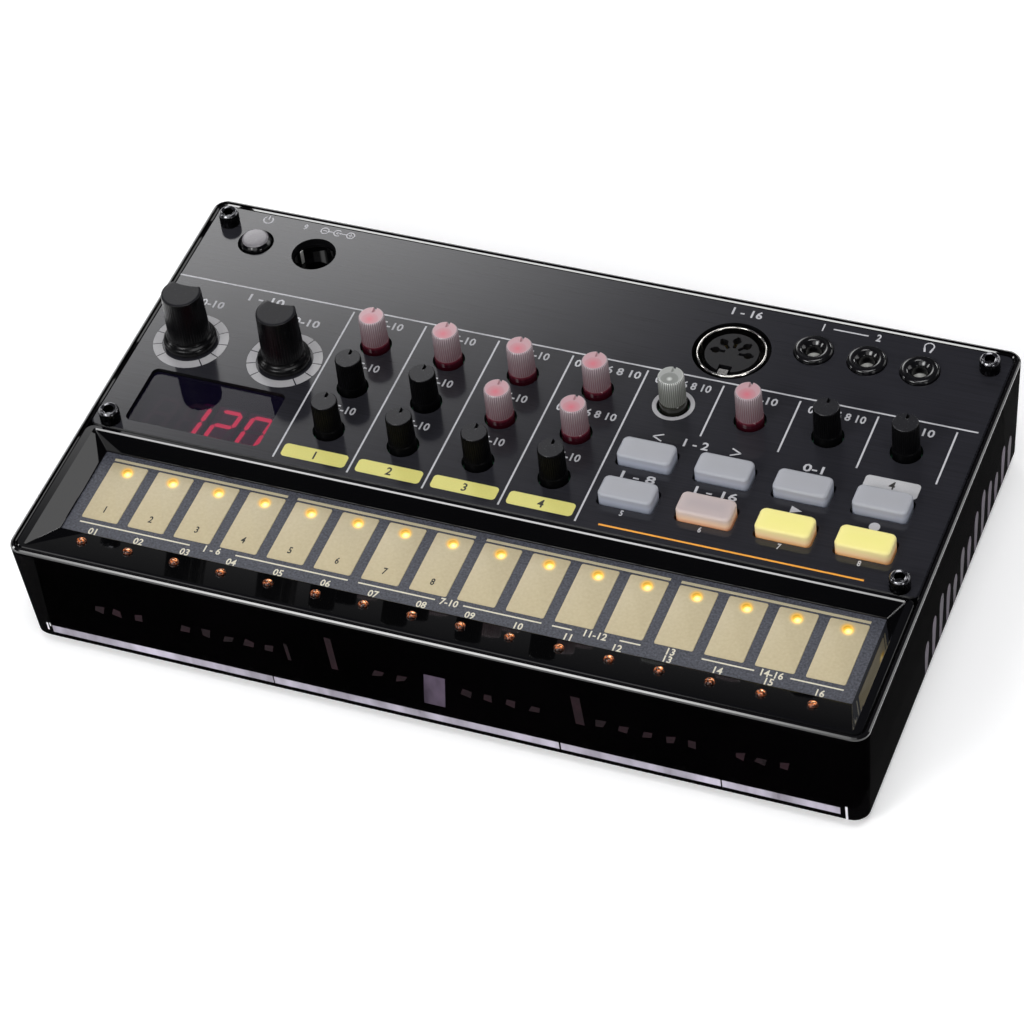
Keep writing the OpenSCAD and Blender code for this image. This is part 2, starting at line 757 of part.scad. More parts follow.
module jack(x) {
    z0 = socket_board_z + board_t;
    z1 = panel_z + 1;
    color([0.05, 0.05, 0.055])
    translate([x, jack_y, 0]) difference() {
        union() {
            slab(9, 9.6, 0.6, z0, panel_low_z - 0.1);
            rod(jack_hole_d - 0.3, z0, panel_z + 0.1);
            rotate_extrude() polygon([[0, z0], [3.9, z0], [3.9, z1 - 0.3], [3.6, z1], [0, z1]]);
        }
        rod(jack_bore_d, z0 + 0.8, z1 + 1);
        translate([0, 0, z1 - 0.9]) cylinder(d1 = jack_bore_d, d2 = jack_bore_d + 1.8, h = 0.9 + eps);
    }
}

module power_inlet() {
    z0 = socket_board_z + board_t;
    z1 = panel_low_z - 0.1;
    color([0.04, 0.04, 0.045])
    translate([inlet_x, jack_y - 0.2, 0]) difference() {
        slab(12.4, 12.4, 0.8, z0, z1);
        rod(inlet_well_d - 0.6, z1 - 3.2, z1 + 1);
        rod(6.2, z0 + 1.5, z1 + 1);
    }
}

module inlet_pin() {
    z0 = socket_board_z + board_t + 1.5;
    z1 = panel_z - 5.4;
    color([0.8, 0.8, 0.78])
    translate([inlet_x, jack_y - 0.2, 0]) rotate_extrude()
        polygon([[0, z0], [inlet_pin_d / 2, z0], [inlet_pin_d / 2, z1 - 0.5], [inlet_pin_d / 2 - 0.4, z1], [0, z1]]);
}

module socket_contacts() {
    z0 = socket_board_z;
    color([0.8, 0.75, 0.5])
    {
        // Solder pins of the three 3.5 mm sockets
        for (x = jack_xs, i = [-1:1]) translate([x + i * 2.5, jack_y - 3, 0]) rod(0.8, z0 - 1.5, z0 + board_t - 0.05);
        // Spring sleeves of the five pin socket
        for (a = pin_angles) translate([din_pos[0], din_pos[1], 0]) rotate(a) translate([din_pin_r, 0, 0]) difference() {
            rod(1.7, z0 + board_t + 1.05, panel_z - 2.4);
            rod(1.4, z0 + board_t + 2, panel_z);
        }
    }
}

// Loudspeaker and fasteners

module speaker() {
    z0 = floor_z;
    r = speaker_d / 2;
    color([0.25, 0.25, 0.26])
    translate([speaker_x, speaker_y, 0]) rotate_extrude() polygon([
        [0, z0 + 2.5], [6, z0 + 3], [r - 3, z0 + 1], [r - 2, z0 + 1.4], [r - 1, z0], [r, z0], [r, z0 + 1.5],
        [r - 1.5, z0 + 2.4], [9, z0 + 5], [9, z0 + 8.5], [0, z0 + 8.5]
    ]);
}

module board_screw(z, depth) {
    translate([0, 0, z]) difference() {
        union() {
            cylinder(d1 = 3.6, d2 = 3, h = 1.2);
            rod(1.6, -depth, eps);
        }
        for (a = [0, 90]) rotate(a) translate([-1, -0.2, 0.6]) cube([2, 0.4, 1]);
    }
}

module board_screws() {
    color([0.6, 0.6, 0.62])
    {
        for (p = socket_post_xy) translate(p) board_screw(socket_board_z + board_t, 5);
        for (p = main_post_xy) translate(p) board_screw(board_z + board_t, 2.6);
    }
}

case_tub();
control_panel();
pad_surround();
pad_sheet();
touch_pads();
pad_lights();
slope_lights();
display_window();
display_module();
main_board();
key_board();
socket_board();
flat_cable();
chips();
capacitors();
pot_bodies();
switch_bodies();
key_lights();
knob_lights();
for (i = [0:len(dial_xs) - 1]) dial(i);
for (i = [0:len(knob_places) - 1]) knob(i);
for (i = [0:len(key_places) - 1]) key(i);
power_button();
din_shell();
din_insert();
jack(jack_xs[0]);  // sync_in_jack
jack(jack_xs[1]);  // sync_out_jack
jack(jack_xs[2]);  // phones_jack
power_inlet();
inlet_pin();
panel_screws();
board_screws();
rubber_feet();
battery_door();
battery_contacts();
speaker();
socket_contacts();
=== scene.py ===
# Looks of a desktop drum machine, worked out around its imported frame.
# Sizes in the dictionaries are millimetres from the table's origin; the meshes are written in metres.
import math

import bmesh
import bpy
import numpy as np
from mathutils import Matrix


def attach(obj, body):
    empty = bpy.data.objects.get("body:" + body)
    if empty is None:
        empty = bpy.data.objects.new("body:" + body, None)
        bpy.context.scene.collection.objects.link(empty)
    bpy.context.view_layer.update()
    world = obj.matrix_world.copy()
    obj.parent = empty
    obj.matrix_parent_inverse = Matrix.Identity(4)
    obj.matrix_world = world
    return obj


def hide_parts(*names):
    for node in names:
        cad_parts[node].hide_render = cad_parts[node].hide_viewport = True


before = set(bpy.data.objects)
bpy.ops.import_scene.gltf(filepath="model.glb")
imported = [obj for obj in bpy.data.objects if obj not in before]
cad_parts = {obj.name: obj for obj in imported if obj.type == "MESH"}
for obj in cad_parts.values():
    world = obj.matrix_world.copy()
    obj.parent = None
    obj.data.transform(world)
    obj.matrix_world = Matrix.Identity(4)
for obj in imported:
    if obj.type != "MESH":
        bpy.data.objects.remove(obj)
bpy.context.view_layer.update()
mm = 0.001

# Where the camera stands and looks
camera = {
    "place": (268.96, -544.71, 647.37),
    "right": (0.93016, 0.35485, -0.09426),
    "down": (0.19837, -0.70176, -0.68424),
    "forward": (-0.30895, 0.61775, -0.72314),
    "lens": 140.98,
    "sensor": 36,
}


def placeCamera(c):
    # the camera looks along -Z with +Y up, so its columns are right, minus down and minus forward
    lens = bpy.data.cameras.new("studioCamera")
    lens.lens, lens.sensor_width = c["lens"], c["sensor"]
    lens.clip_start, lens.clip_end = 0.05, 20
    holder = bpy.data.objects.new("studioCamera", lens)
    axes = np.array([c["right"], -np.array(c["down"]), -np.array(c["forward"]), np.array(c["place"]) * mm]).T
    holder.matrix_world = Matrix(np.vstack([axes, [0, 0, 0, 1]]).tolist())
    bpy.context.scene.collection.objects.link(holder)
    bpy.context.scene.camera = holder


placeCamera(camera)
print("camera placed")


def linearColour(hexCode):
    # sRGB to linear: c/12.92 in the dark, ((c+0.055)/1.055)^2.4 above
    parts = [int(hexCode[i:i + 2], 16) / 255 for i in (1, 3, 5)]
    return tuple(c / 12.92 if c <= 0.04045 else ((c + 0.055) / 1.055) ** 2.4 for c in parts) + (1.0,)


def addNode(tree, kind, settings=None, links=None):
    # a setting is an input's value where the node has such an input, else a property of the node
    node = tree.nodes.new("ShaderNode" + kind)
    for key, value in (settings or {}).items():
        if isinstance(key, int) or key in node.inputs:
            node.inputs[key].default_value = value
        else:
            setattr(node, key, value)
    for key, source in (links or {}).items():
        tree.links.new(source, node.inputs[key])
    return node


def newFinish(name, colour, **sockets):
    # a Principled surface in one base colour, with the named sockets set on it
    finish = bpy.data.materials.new(name)
    finish.use_nodes = True
    tree = finish.node_tree
    shader = tree.nodes["Principled BSDF"]
    shader.inputs["Base Color"].default_value = linearColour(colour)
    for key, value in sockets.items():
        shader.inputs[key.replace("_", " ")].default_value = value
    return finish, tree, shader


def objectPlace(tree):
    # a point's place in the piece's own coordinates, in metres
    return addNode(tree, "TexCoord").outputs["Object"]


def rampStops(ramp, stops):
    # stops are (place from 0 to 1, hex colour)
    elements = ramp.color_ramp.elements
    for i, (place, colour) in enumerate(stops):
        element = elements[i] if i < len(elements) else elements.new(place)
        element.position, element.color = place, linearColour(colour)
    return ramp.outputs["Color"]


def grained(name, darker, paler, grain, depth, stretch=(1, 1, 1), uneven=0.15, **sockets):
    # moulded or worked surface: noise with cells of `grain` millimetres mixes two near colours, moves the
    # roughness up and down by the share `uneven` and lifts the surface by `depth` millimetres
    finish, tree, shader = newFinish(name, darker, **sockets)
    place = addNode(tree, "Mapping", {"Scale": stretch}, {"Vector": objectPlace(tree)}).outputs["Vector"]
    noise = addNode(tree, "TexNoise", {"Scale": 1000 / grain, "Detail": 3.0, "Roughness": 0.55},
                    {"Vector": place})
    tint = addNode(tree, "ValToRGB", links={"Fac": noise.outputs["Fac"]})
    tree.links.new(rampStops(tint, [(0.3, darker), (0.7, paler)]), shader.inputs["Base Color"])
    rough = shader.inputs["Roughness"].default_value
    spread = addNode(tree, "MapRange", {"From Min": 0.25, "From Max": 0.75, "To Min": rough * (1 - uneven),
                                        "To Max": min(1, rough * (1 + uneven))},
                     {"Value": noise.outputs["Fac"]})
    tree.links.new(spread.outputs["Result"], shader.inputs["Roughness"])
    bump = addNode(tree, "Bump", {"Strength": 1.0, "Distance": depth * mm}, {"Height": noise.outputs["Fac"]})
    tree.links.new(bump.outputs["Normal"], shader.inputs["Normal"])
    return finish


# Smoked polycarbonate, moulded and polished: near black, clear enough to show what lies close behind it
smokedCase = grained("smokedPolycarbonate", "#020202", "#040304", 30, 0.001, Roughness=0.06, IOR=1.006,
                     Alpha=0.94)
# The same plastic along the rim, where the polished edge catches the studio lights
polishedRim = grained("polishedRim", "#080708", "#0a090a", 20, 0.002, Roughness=0.08, IOR=1.58)
# Aluminium sheet, brushed along X under black satin lacquer: a soft sheen over faint lines 0.4 mm apart
satinPanel = grained("satinBlackPanel", "#232327", "#29292e", 0.4, 0.00005, (0.02, 1, 1), 0.03,
                     Roughness=0.12, IOR=1.5)
# The same sheet where it is punched, and its front edge: near black, painted shade of the holes and the front
# edge
cutEdgeShade = grained("cutEdgePaintedShade", "#08080a", "#0e0e10", 0.5, 0.004, Roughness=0.4, IOR=1.3)
# ABS moulded in a polished tool: black piano gloss
polishedBlack = grained("polishedBlackAbs", "#050506", "#070708", 25, 0.003, Roughness=0.04, IOR=1.54)
# Printed polycarbonate film with an embossed grain of 0.5 mm
texturedFilm = grained("embossedFilm", "#25272e", "#565862", 0.5, 0.06, Roughness=0.5)
# Black ABS from a spark eroded tool: deep black sides; the tops are paler copies, whose colour paints their
# soft sheen
sparkAbs = grained("sparkErodedAbs", "#040405", "#070708", 0.4, 0.001, Roughness=0.24, IOR=1.3)
sheenAbs = grained("sheenTopAbs", "#1f1f22", "#232326", 0.4, 0.0006, Roughness=0.25, IOR=1.34)
dialSheenAbs = grained("dialTopSheenAbs", "#1b1b1e", "#1f1f22", 0.4, 0.0006, Roughness=0.25, IOR=1.22)
# The fluted sides of the small knobs, eroded coarser: they drink nearly all light
flutedAbs = grained("flutedAbs", "#040405", "#070708", 0.4, 0.002, Roughness=0.38, IOR=1.14)
# ABS moulded glossy: the collars of the three small sockets, which draw curved glints
collarAbs = grained("collarAbs", "#0a0a0b", "#0e0e10", 3, 0.001, Roughness=0.15, IOR=1.5)
# Black glass filled nylon around the pins
pinNylon = grained("pinNylon", "#121214", "#19191b", 0.5, 0.004, Roughness=0.38, IOR=1.33)
# Black oxide on alloy steel: dark with a soft metal glint
blackOxide = grained("blackOxideSteel", "#18181a", "#242427", 0.8, 0.003, Metallic=1.0, Roughness=0.26)
# A much paler copy of the oxide for the heads' top rims: painted sheen where the rims catch the light
oxideSheen = grained("oxideSteelPaintedSheen", "#606063", "#78787b", 0.8, 0.003, Metallic=1.0, Roughness=0.2)
# Bright nickel plate over brass
nickel = grained("nickelPlate", "#cbc8c2", "#d8d6d1", 1.5, 0.0005, Metallic=1.0, Roughness=0.14)
# Tin on the spring contacts, darkened as painted shade down in the bores, and a leaf of plain tin in the
# power inlet
tinPaintedShade = grained("tinPaintedShade", "#9a9a96", "#aaaaa6", 0.8, 0.001, Metallic=0.3, Roughness=0.45)
plainTin = grained("plainTin", "#c9c9c6", "#dadad6", 0.8, 0.001, Metallic=0.3, Roughness=0.4)
# Grey polycarbonate cap with a satin coat
greyCap = grained("satinGreyCap", "#747175", "#7c797d", 0.4, 0.001, Roughness=0.22, IOR=1.5)
# Tinted acrylic over the display, polished
smokedWindow = grained("tintedAcrylic", "#0c0a1a", "#100c1e", 20, 0.001, Roughness=0.03, IOR=1.29, Alpha=0.78)
# It lies 0.8 degrees off level, which shows in what it mirrors
windowLean = (-0.0075, 0.012, 0.0)
windowTree = smokedWindow.node_tree
windowBump = windowTree.nodes["Bump"]
level = addNode(windowTree, "NewGeometry").outputs["Normal"]
leaning = addNode(windowTree, "VectorMath", {"operation": "ADD", 1: windowLean}, {0: level})
leaning = addNode(windowTree, "VectorMath", {"operation": "NORMALIZE"}, {0: leaning.outputs["Vector"]})
windowTree.links.new(leaning.outputs["Vector"], windowBump.inputs["Normal"])
# Natural rubber, matt
footRubber = grained("mattRubber", "#161616", "#1f1f1f", 0.8, 0.03, Roughness=0.85)
# Glass epoxy board under green solder mask
boardMask = grained("greenSolderMask", "#0d2f1c", "#164428", 2.5, 0.02, Roughness=0.35)
# Moulded parts inside, each with the fine grain of its tool: chips, sleeved cans, pot bodies and switches
epoxy = grained("chipEpoxy", "#101012", "#1a1a1c", 0.5, 0.01, Roughness=0.6)
canSleeve = grained("capacitorSleeve", "#20244a", "#2a2f5c", 1.2, 0.004, Roughness=0.35)
potPlastic = grained("glassFilledNylon", "#2c5a44", "#356850", 0.6, 0.01, Roughness=0.5)
switchPlastic = grained("switchNylon", "#1a1a1c", "#232326", 0.6, 0.01, Roughness=0.5)
# Extruded PVC with a rib for each wire, 1.27 mm apart
cablePvc = grained("greyPvcBand", "#a4a4ab", "#b2b2b8", 1.27, 0.05, (1, 0.02, 0.02), Roughness=0.5)
# Plated and painted metal inside: zinc on the screws, tin on the brass contacts, satin paint on the speaker
zincSteel = grained("zincPlatedSteel", "#8e9092", "#a5a7a8", 1.0, 0.004, Metallic=1.0, Roughness=0.32)
brassTin = grained("tinnedBrass", "#b4a06a", "#c8b47c", 1.0, 0.003, Metallic=1.0, Roughness=0.28)
coneFrame = grained("paintedSteelFrame", "#2a2a2c", "#363638", 0.8, 0.02, Roughness=0.45)
# Screen inks: matt and slightly uneven where the mesh leaves its mark
greyInk = grained("greyScreenInk", "#b9b9bd", "#c6c6ca", 0.25, 0.004, Roughness=0.5)
ringInk = grained("ringScreenInk", "#9b9a9c", "#a6a5a7", 0.25, 0.004, Roughness=0.4)
yellowInk = grained("yellowScreenInk", "#d4cd74", "#dcd67f", 0.25, 0.004, Roughness=0.5)
orangeInk = grained("orangeScreenInk", "#ea9c2c", "#f2a734", 0.25, 0.004, Roughness=0.45)
darkInk = grained("darkScreenInk", "#1c1a16", "#262420", 0.25, 0.004, Roughness=0.5)
creamInk = grained("creamScreenInk", "#d8d2bd", "#e2dcc8", 0.25, 0.004, Roughness=0.5)
tanInk = grained("tanScreenInk", "#b3a98a", "#bfb597", 0.25, 0.004, Roughness=0.5)
paleInk = grained("paleScreenInk", "#b4b4b6", "#bebec0", 0.25, 0.004, Roughness=0.5)
print("plain finishes made")


def rowDistance(tree, centreX, centreY, pitch):
    # distance in mm from the nearest of a row of points: x wraps every `pitch`, y does not
    axes = addNode(tree, "SeparateXYZ", links={"Vector": objectPlace(tree)})
    x = addNode(tree, "Math", {"operation": "WRAP", 1: pitch * mm, 2: 0.0}, {0: axes.outputs["X"]})
    across = addNode(tree, "Math", {"operation": "SUBTRACT", 1: centreX * mm}, {0: x.outputs[0]})
    along = addNode(tree, "Math", {"operation": "SUBTRACT", 1: centreY * mm}, {0: axes.outputs["Y"]})
    flat = addNode(tree, "CombineXYZ", links={"X": across.outputs[0], "Y": along.outputs[0]})
    length = addNode(tree, "VectorMath", {"operation": "LENGTH"}, {0: flat.outputs["Vector"]})
    return addNode(tree, "Math", {"operation": "MULTIPLY", 1: 1000.0},
                   {0: length.outputs["Value"]}).outputs[0]


def litSpots(name, body, amber, ring, core, pitch, strength, speckle=None, **sockets):
    # printed film over small lights: by the distance from each light's middle the film is tinted amber, a
    # painted pool of the light; a ring of light is added, and a hotter core beside it
    finish = grained(name, *body, 0.7, 0.006, **sockets)
    tree = finish.node_tree
    shader = tree.nodes["Principled BSDF"]
    layers = []
    for spot in (ring, core):
        distance = rowDistance(tree, *spot["middle"], pitch)
        reach = addNode(tree, "Math", {"operation": "DIVIDE", 1: spot["reach"], "use_clamp": True},
                        {0: distance})
        layers.append(rampStops(addNode(tree, "ValToRGB", links={"Fac": reach.outputs[0]}), spot["stops"]))
        if spot is ring:
            near = addNode(tree, "MapRange", {"From Min": 0.3, "From Max": 0.75}, {"Value": reach.outputs[0]})
    # the amber mixed into the base colour near each light is painted light
    film = shader.inputs["Base Color"].links[0].from_socket
    tinted = addNode(tree, "Mix", {"data_type": "RGBA", 6: linearColour(amber)},
                     {0: near.outputs["Result"], 7: film})
    tree.links.new(tinted.outputs[2], shader.inputs["Base Color"])
    glow = addNode(tree, "Mix", {"data_type": "RGBA", "blend_type": "ADD", 0: 1.0},
                   {6: layers[0], 7: layers[1]})
    light = glow.outputs[2]
    if speckle:
        # glints: the light is cut up where a noise with cells of `speckle` millimetres is low
        noise = addNode(tree, "TexNoise", {"Scale": 1000 / speckle, "Detail": 1.0},
                        {"Vector": objectPlace(tree)})
        cut = addNode(tree, "MapRange", {"From Min": 0.46, "From Max": 0.58, "To Min": 0.05},
                      {"Value": noise.outputs["Fac"]})
        cutLight = addNode(tree, "Mix", {"data_type": "RGBA", 6: (0, 0, 0, 1)},
                           {0: cut.outputs["Result"], 7: light})
        light = cutLight.outputs[2]
    tree.links.new(light, shader.inputs["Emission Color"])
    shader.inputs["Emission Strength"].default_value = strength
    return finish


# Cream polycarbonate film over a light guide: each light shows as an amber ring with a white hot core
padFilm = litSpots(
    "creamTouchFilm", ("#beb08e", "#c6b997"), "#c79218",
    {"middle": (5.5, -25.95), "reach": 2.3,
     "stops": [(0.0, "#6e5010"), (0.28, "#5a3e08"), (0.44, "#a87e10"), (0.6, "#6a4e06"), (0.8, "#1e1602"),
               (1.0, "#000000")]},
    {"middle": (5.9, -26.55), "reach": 1.9,
     "stops": [(0.0, "#fff6d8"), (0.3, "#f4df88"), (0.48, "#b08e24"), (0.72, "#3e3004"), (1.0, "#000000")]},
    11, 1.0, Roughness=0.42)
# Clear resin dome over a dim amber light, which glints in it
amberDome = litSpots(
    "amberResinDome", ("#120704", "#1c0d07"), "#3a1a0c",
    {"middle": (5.5, -49.0), "reach": 1.35,
     "stops": [(0.0, "#3a1808"), (0.3, "#6a3418"), (0.5, "#a45c34"), (0.7, "#5e2c12"), (0.9, "#160802"),
               (1.0, "#000000")]},
    {"middle": (5.75, -48.8), "reach": 0.62,
     "stops": [(0.0, "#fff0d8"), (0.45, "#e0955c"), (1.0, "#000000")]},
    11, 1.9, 0.55, Roughness=0.1)


def heightFinish(name, low, high, stops, strength, attribute=None, grain=0.5, depth=0.004, **sockets):
    # plastic lit from inside, and unlit plastic given painted light: its colour, and the light it gives off,
    # follow the height from `low` to `high` millimetres, or the piece's own attribute from 0 to 1
    finish = grained(name, stops[0][1], stops[0][1], grain, depth, **sockets)
    tree = finish.node_tree
    shader = tree.nodes["Principled BSDF"]
    if attribute:
        share = addNode(tree, "Attribute", {"attribute_name": attribute}).outputs["Fac"]
    else:
        height = addNode(tree, "SeparateXYZ", links={"Vector": objectPlace(tree)}).outputs["Z"]
        limits = {"From Min": low * mm, "From Max": high * mm}
        share = addNode(tree, "MapRange", limits, {"Value": height}).outputs["Result"]
    colour = rampStops(addNode(tree, "ValToRGB", links={"Fac": share}), stops)
    tree.links.new(colour, shader.inputs["Base Color"])
    tree.links.new(colour, shader.inputs["Emission Color"])
    shader.inputs["Emission Strength"].default_value = strength
    return finish


# Frosted acrylic knobs: red light fills the foot, thins out up the fluted side and gathers in the top
# The pale stops at the foot's top and the grip's top edge are painted glints; the foot darkens into its hole
# as painted shade
pinkAcrylic = heightFinish(
    "frostedAcrylicRedLit", 0, 1,
    [(0.0, "#120206"), (0.2, "#2c0610"), (0.25, "#4a1420"), (0.28, "#b8a0a4"), (0.34, "#75494f"),
     (0.42, "#5e4047"), (0.54, "#6c5559"), (0.64, "#74686c"), (0.7, "#ab9b9f"), (0.76, "#ac8086"),
     (0.86, "#b0777f"), (1.0, "#bb6571")],
    0.24, "glow", Roughness=0.12, IOR=1.49)
# The clear knob with no light under it: its faint glow, its pale stops and its pale top are painted light
greyAcrylic = heightFinish(
    "frostedAcrylicPaintedGlow", 0, 1,
    [(0.0, "#060606"), (0.2, "#1c1c18"), (0.27, "#2c2c27"), (0.29, "#a4a69e"), (0.4, "#4c4d46"),
     (0.54, "#5f615c"), (0.64, "#71736f"), (0.7, "#b9bbb8"), (0.76, "#7e807d"), (0.9, "#7a7c79"),
     (1.0, "#c8cac6")],
    0.2, "glow", Roughness=0.1, IOR=1.49)
# Silicone keys: dyed grey with a matt coat; their paler, bluer sides and faint glow are painted light
greySilicone = heightFinish("greySilicone", 29.5, 33,
                            [(0.0, "#8c92a1"), (0.45, "#adb2c0"), (0.85, "#a7aab2"), (1.0, "#9fa0a5")], 0.04,
                            Roughness=0.42, IOR=1.41)
# The same silicone with lights under it
yellowSilicone = heightFinish("yellowLitSilicone", 29.5, 33,
                              [(0.0, "#f0a868"), (0.35, "#f6d4a2"), (0.75, "#f3e3a4"), (1.0, "#e6de86")],
                              0.14,
                              Roughness=0.45, IOR=1.41)
warmSilicone = heightFinish("warmLitSilicone", 29.5, 33,
                            [(0.0, "#f0a070"), (0.35, "#f4ceac"), (0.8, "#d9c6bd"), (1.0, "#a99d9d")], 0.1,
                            Roughness=0.45, IOR=1.41)
# Display segments of cast resin: red light emitting ones, and the same moulding unlit, given a faint painted
# glow
litSegment = heightFinish("redSegmentLit", 25, 27, [(0.0, "#ff2c60"), (1.0, "#ff2c60")], 8.5, Roughness=0.4)
darkSegment = heightFinish("redSegmentPaintedGlow", 25, 27, [(0.0, "#8a5a6c"), (1.0, "#8a5a6c")], 0.5,
                           Roughness=0.4)
# Diffusing film behind the lit digits, which glows plum where their red light spills over it
spiltRed = heightFinish("spiltRed", 25, 27, [(0.0, "#6e1e4e"), (1.0, "#6e1e4e")], 2.0, Roughness=0.5)
# Moulded case of the display, and the clear and the red resin of the lights inside
moduleCase = grained("displayCase", "#17161a", "#1e1c21", 0.6, 0.006, Roughness=0.5)
ledResin = grained("clearResin", "#c8a84a", "#d8ba5c", 0.6, 0.003, Roughness=0.2)
redResin = heightFinish("redResin", 20, 40, [(0.0, "#c0141e"), (1.0, "#c0141e")], 1.0, Roughness=0.2)
# What the smoked walls show: along the foot a pale band with glints, a painted reflection of the table; seen
# through them, plum sockets and grey violet ribs
paleReflection = grained("palePaintedReflection", "#7d7882", "#d6cfe0", 7, 0.01, (1, 0.2, 0.2), Roughness=0.3, IOR=1.3)
whiteGlint = grained("whitePaintedGlint", "#e4e2e8", "#f2f0f4", 3, 0.01, Roughness=0.3, IOR=1.3)
plumGlow = grained("plumSeenThrough", "#0e070a", "#26131a", 5, 0.01, Roughness=0.3, IOR=1.1)
violetGlow = grained("violetSeenThrough", "#2c2430", "#5f5364", 5, 0.01, (1, 1, 0.4), Roughness=0.3, IOR=1.1)
print("lit and see-through finishes made")


def turned(profile, around):
    # a profile of (radius, height) carried round Z: x = radius*cos(turn), y = radius*sin(turn), z = height
    profile = np.asarray(profile, float)
    turn = np.linspace(0, 2 * np.pi, around, endpoint=False)
    radius, height = profile[:, :1], profile[:, 1:]
    x = radius * np.cos(turn)
    return np.stack([x, radius * np.sin(turn), np.broadcast_to(height, x.shape)], -1)


def planRings(boxes, radii, heights, corner=7):
    # rings of rounded rectangles, one for each (xLow, yLow, xHigh, yHigh): every quarter is the inner
    # corner plus radius*(cos, sin) over a right angle, and straight sides join the quarters
    boxes, radii, heights = (np.asarray(v, float) for v in (boxes, radii, heights))
    quarter = np.repeat(np.arange(4), corner)
    turn = quarter * np.pi / 2 + np.tile(np.linspace(0, np.pi / 2, corner), 4)
    right, back = np.isin(quarter, (0, 3)), np.isin(quarter, (0, 1))
    radius = radii[:, None]
    x = np.where(right, boxes[:, 2:3] - radius, boxes[:, 0:1] + radius) + radius * np.cos(turn)
    y = np.where(back, boxes[:, 3:4] - radius, boxes[:, 1:2] + radius) + radius * np.sin(turn)
    return np.stack([x, y, np.broadcast_to(heights[:, None], x.shape)], -1)


def centredBoxes(widths, depths):
    # rectangles about the origin: minus and plus half of each size
    w, d = np.asarray(widths, float) / 2, np.asarray(depths, float) / 2
    return np.stack([-w, -d, w, d], -1)


def softened(profile, radius, steps=4, closed=False):
    # rounds a profile's corners: each inner corner p becomes the curve (1-s)^2 a + 2s(1-s) p + s^2 b, with a
    # and b on its two sides at `radius` or 45% of the side, whichever is less
    p = np.asarray(profile, float)
    before, after = np.roll(p, 1, 0) - p, np.roll(p, -1, 0) - p
    lengths = [np.maximum(np.linalg.norm(v, axis=1, keepdims=True), 1e-9) for v in (before, after)]
    reach = np.minimum(radius, 0.45 * np.minimum(*lengths))
    a, b = p + before / lengths[0] * reach, p + after / lengths[1] * reach
    s = np.linspace(0, 1, steps)[None, :, None]
    curve = (1 - s) ** 2 * a[:, None] + 2 * s * (1 - s) * p[:, None] + s ** 2 * b[:, None]
    if closed:
        return curve.reshape(-1, 2)
    return np.vstack([p[:1], curve[1:-1].reshape(-1, 2), p[-1:]])


def shell(rings, capLow=True, capHigh=True, closed=False):
    # joins neighbouring rings with four sided faces, and closes the first and last ring with one face each,
    # or joins the last ring to the first
    levels, around = rings.shape[:2]
    level = np.arange(levels if closed else levels - 1)[:, None]
    step = np.arange(around)[None]
    nextLevel, nextStep = (level + 1) % levels, (step + 1) % around
    walls = np.stack(np.broadcast_arrays(level * around + step, level * around + nextStep,
                                         nextLevel * around + nextStep, nextLevel * around + step), -1)
    faces = [walls.reshape(-1, 4)]
    if capLow and not closed:
        faces.append(np.arange(around)[::-1][None])
    if capHigh and not closed:
        faces.append(((levels - 1) * around + np.arange(around))[None])
    return rings.reshape(-1, 3), faces


def dented(rings, dent):
    # draws each point in towards the axis: its radius less the dent
    radius = np.hypot(rings[..., 0], rings[..., 1])
    rings[..., :2] *= ((radius - dent) / radius)[..., None]


def withTop(rings, shares, middle=(0, 0, 0)):
    # closes a round side: for each share, middle + share * (last ring - middle) across, at the same height
    shares = np.array(shares)[:, None, None]
    scale = np.concatenate([np.broadcast_to(shares, (len(shares), 1, 2)), np.ones((len(shares), 1, 1))], -1)
    return np.vstack([rings, np.array(middle) + (rings[-1:] - middle) * scale])


def moved(part, *places):
    # the same shell at each place: its points plus the place, its faces' numbers raised by what came before
    points, faces = part
    places = np.atleast_2d(np.asarray(places, float))
    if places.shape[1] == 2:
        places = np.pad(places, ((0, 0), (0, 1)))
    raised = np.arange(len(places))[:, None, None] * len(points)
    spread = (points[None] + places[:, None]).reshape(-1, 3)
    return spread, [(face[None] + raised).reshape(-1, face.shape[1]) for face in faces]


def turnedAbout(part, degrees, axis="z"):
    # turns a shell about the origin: each point times the turn's matrix
    turn = np.array(Matrix.Rotation(math.radians(degrees), 3, axis.upper()))
    return part[0] @ turn.T, part[1]


def dress(mesh, finish, upper=None, above=0):
    # one finish, and where there is an upper one, the faces whose middle is over `above` millimetres take it
    mesh.materials.clear()
    mesh.materials.append(finish)
    if upper:
        mesh.materials.append(upper)
        middles = np.empty(len(mesh.polygons) * 3)
        mesh.polygons.foreach_get("center", middles)
        mesh.polygons.foreach_set("material_index",
                                  (middles.reshape(-1, 3)[:, 2] > above * mm).astype(np.int32))


def makePiece(name, parts, finish, body, replaced=(), sharp=32, values=None, upper=None,
              above=0):
    # all parts in one mesh: points stacked, face numbers raised to match, smooth except over sharp angles
    starts = np.cumsum([0] + [len(points) for points, _ in parts])
    points = np.vstack([points for points, _ in parts]) * mm
    faces = [face for start, (_, groups) in zip(starts, parts)
             for group in groups for face in (group + start).tolist()]
    mesh = bpy.data.meshes.new(name)
    mesh.from_pydata(points, [], faces)
    mesh.polygons.foreach_set("use_smooth", np.ones(len(mesh.polygons), bool))
    mesh.set_sharp_from_angle(angle=math.radians(sharp))
    for key, numbers in (values or {}).items():
        layer = mesh.attributes.new(key, "FLOAT", "POINT")
        layer.data.foreach_set("value", np.asarray(numbers, np.float32))
    dress(mesh, finish, upper, above)
    mesh.update()
    piece = bpy.data.objects.new(name, mesh)
    bpy.context.scene.collection.objects.link(piece)
    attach(piece, body)
    if replaced:
        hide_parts(*replaced)
    return piece


def weighNormals(piece):
    # larger faces lead the shading, so that flat faces stay flat beside small bevels
    normals = piece.modifiers.new("faceWeights", "WEIGHTED_NORMAL")
    normals.keep_sharp = True


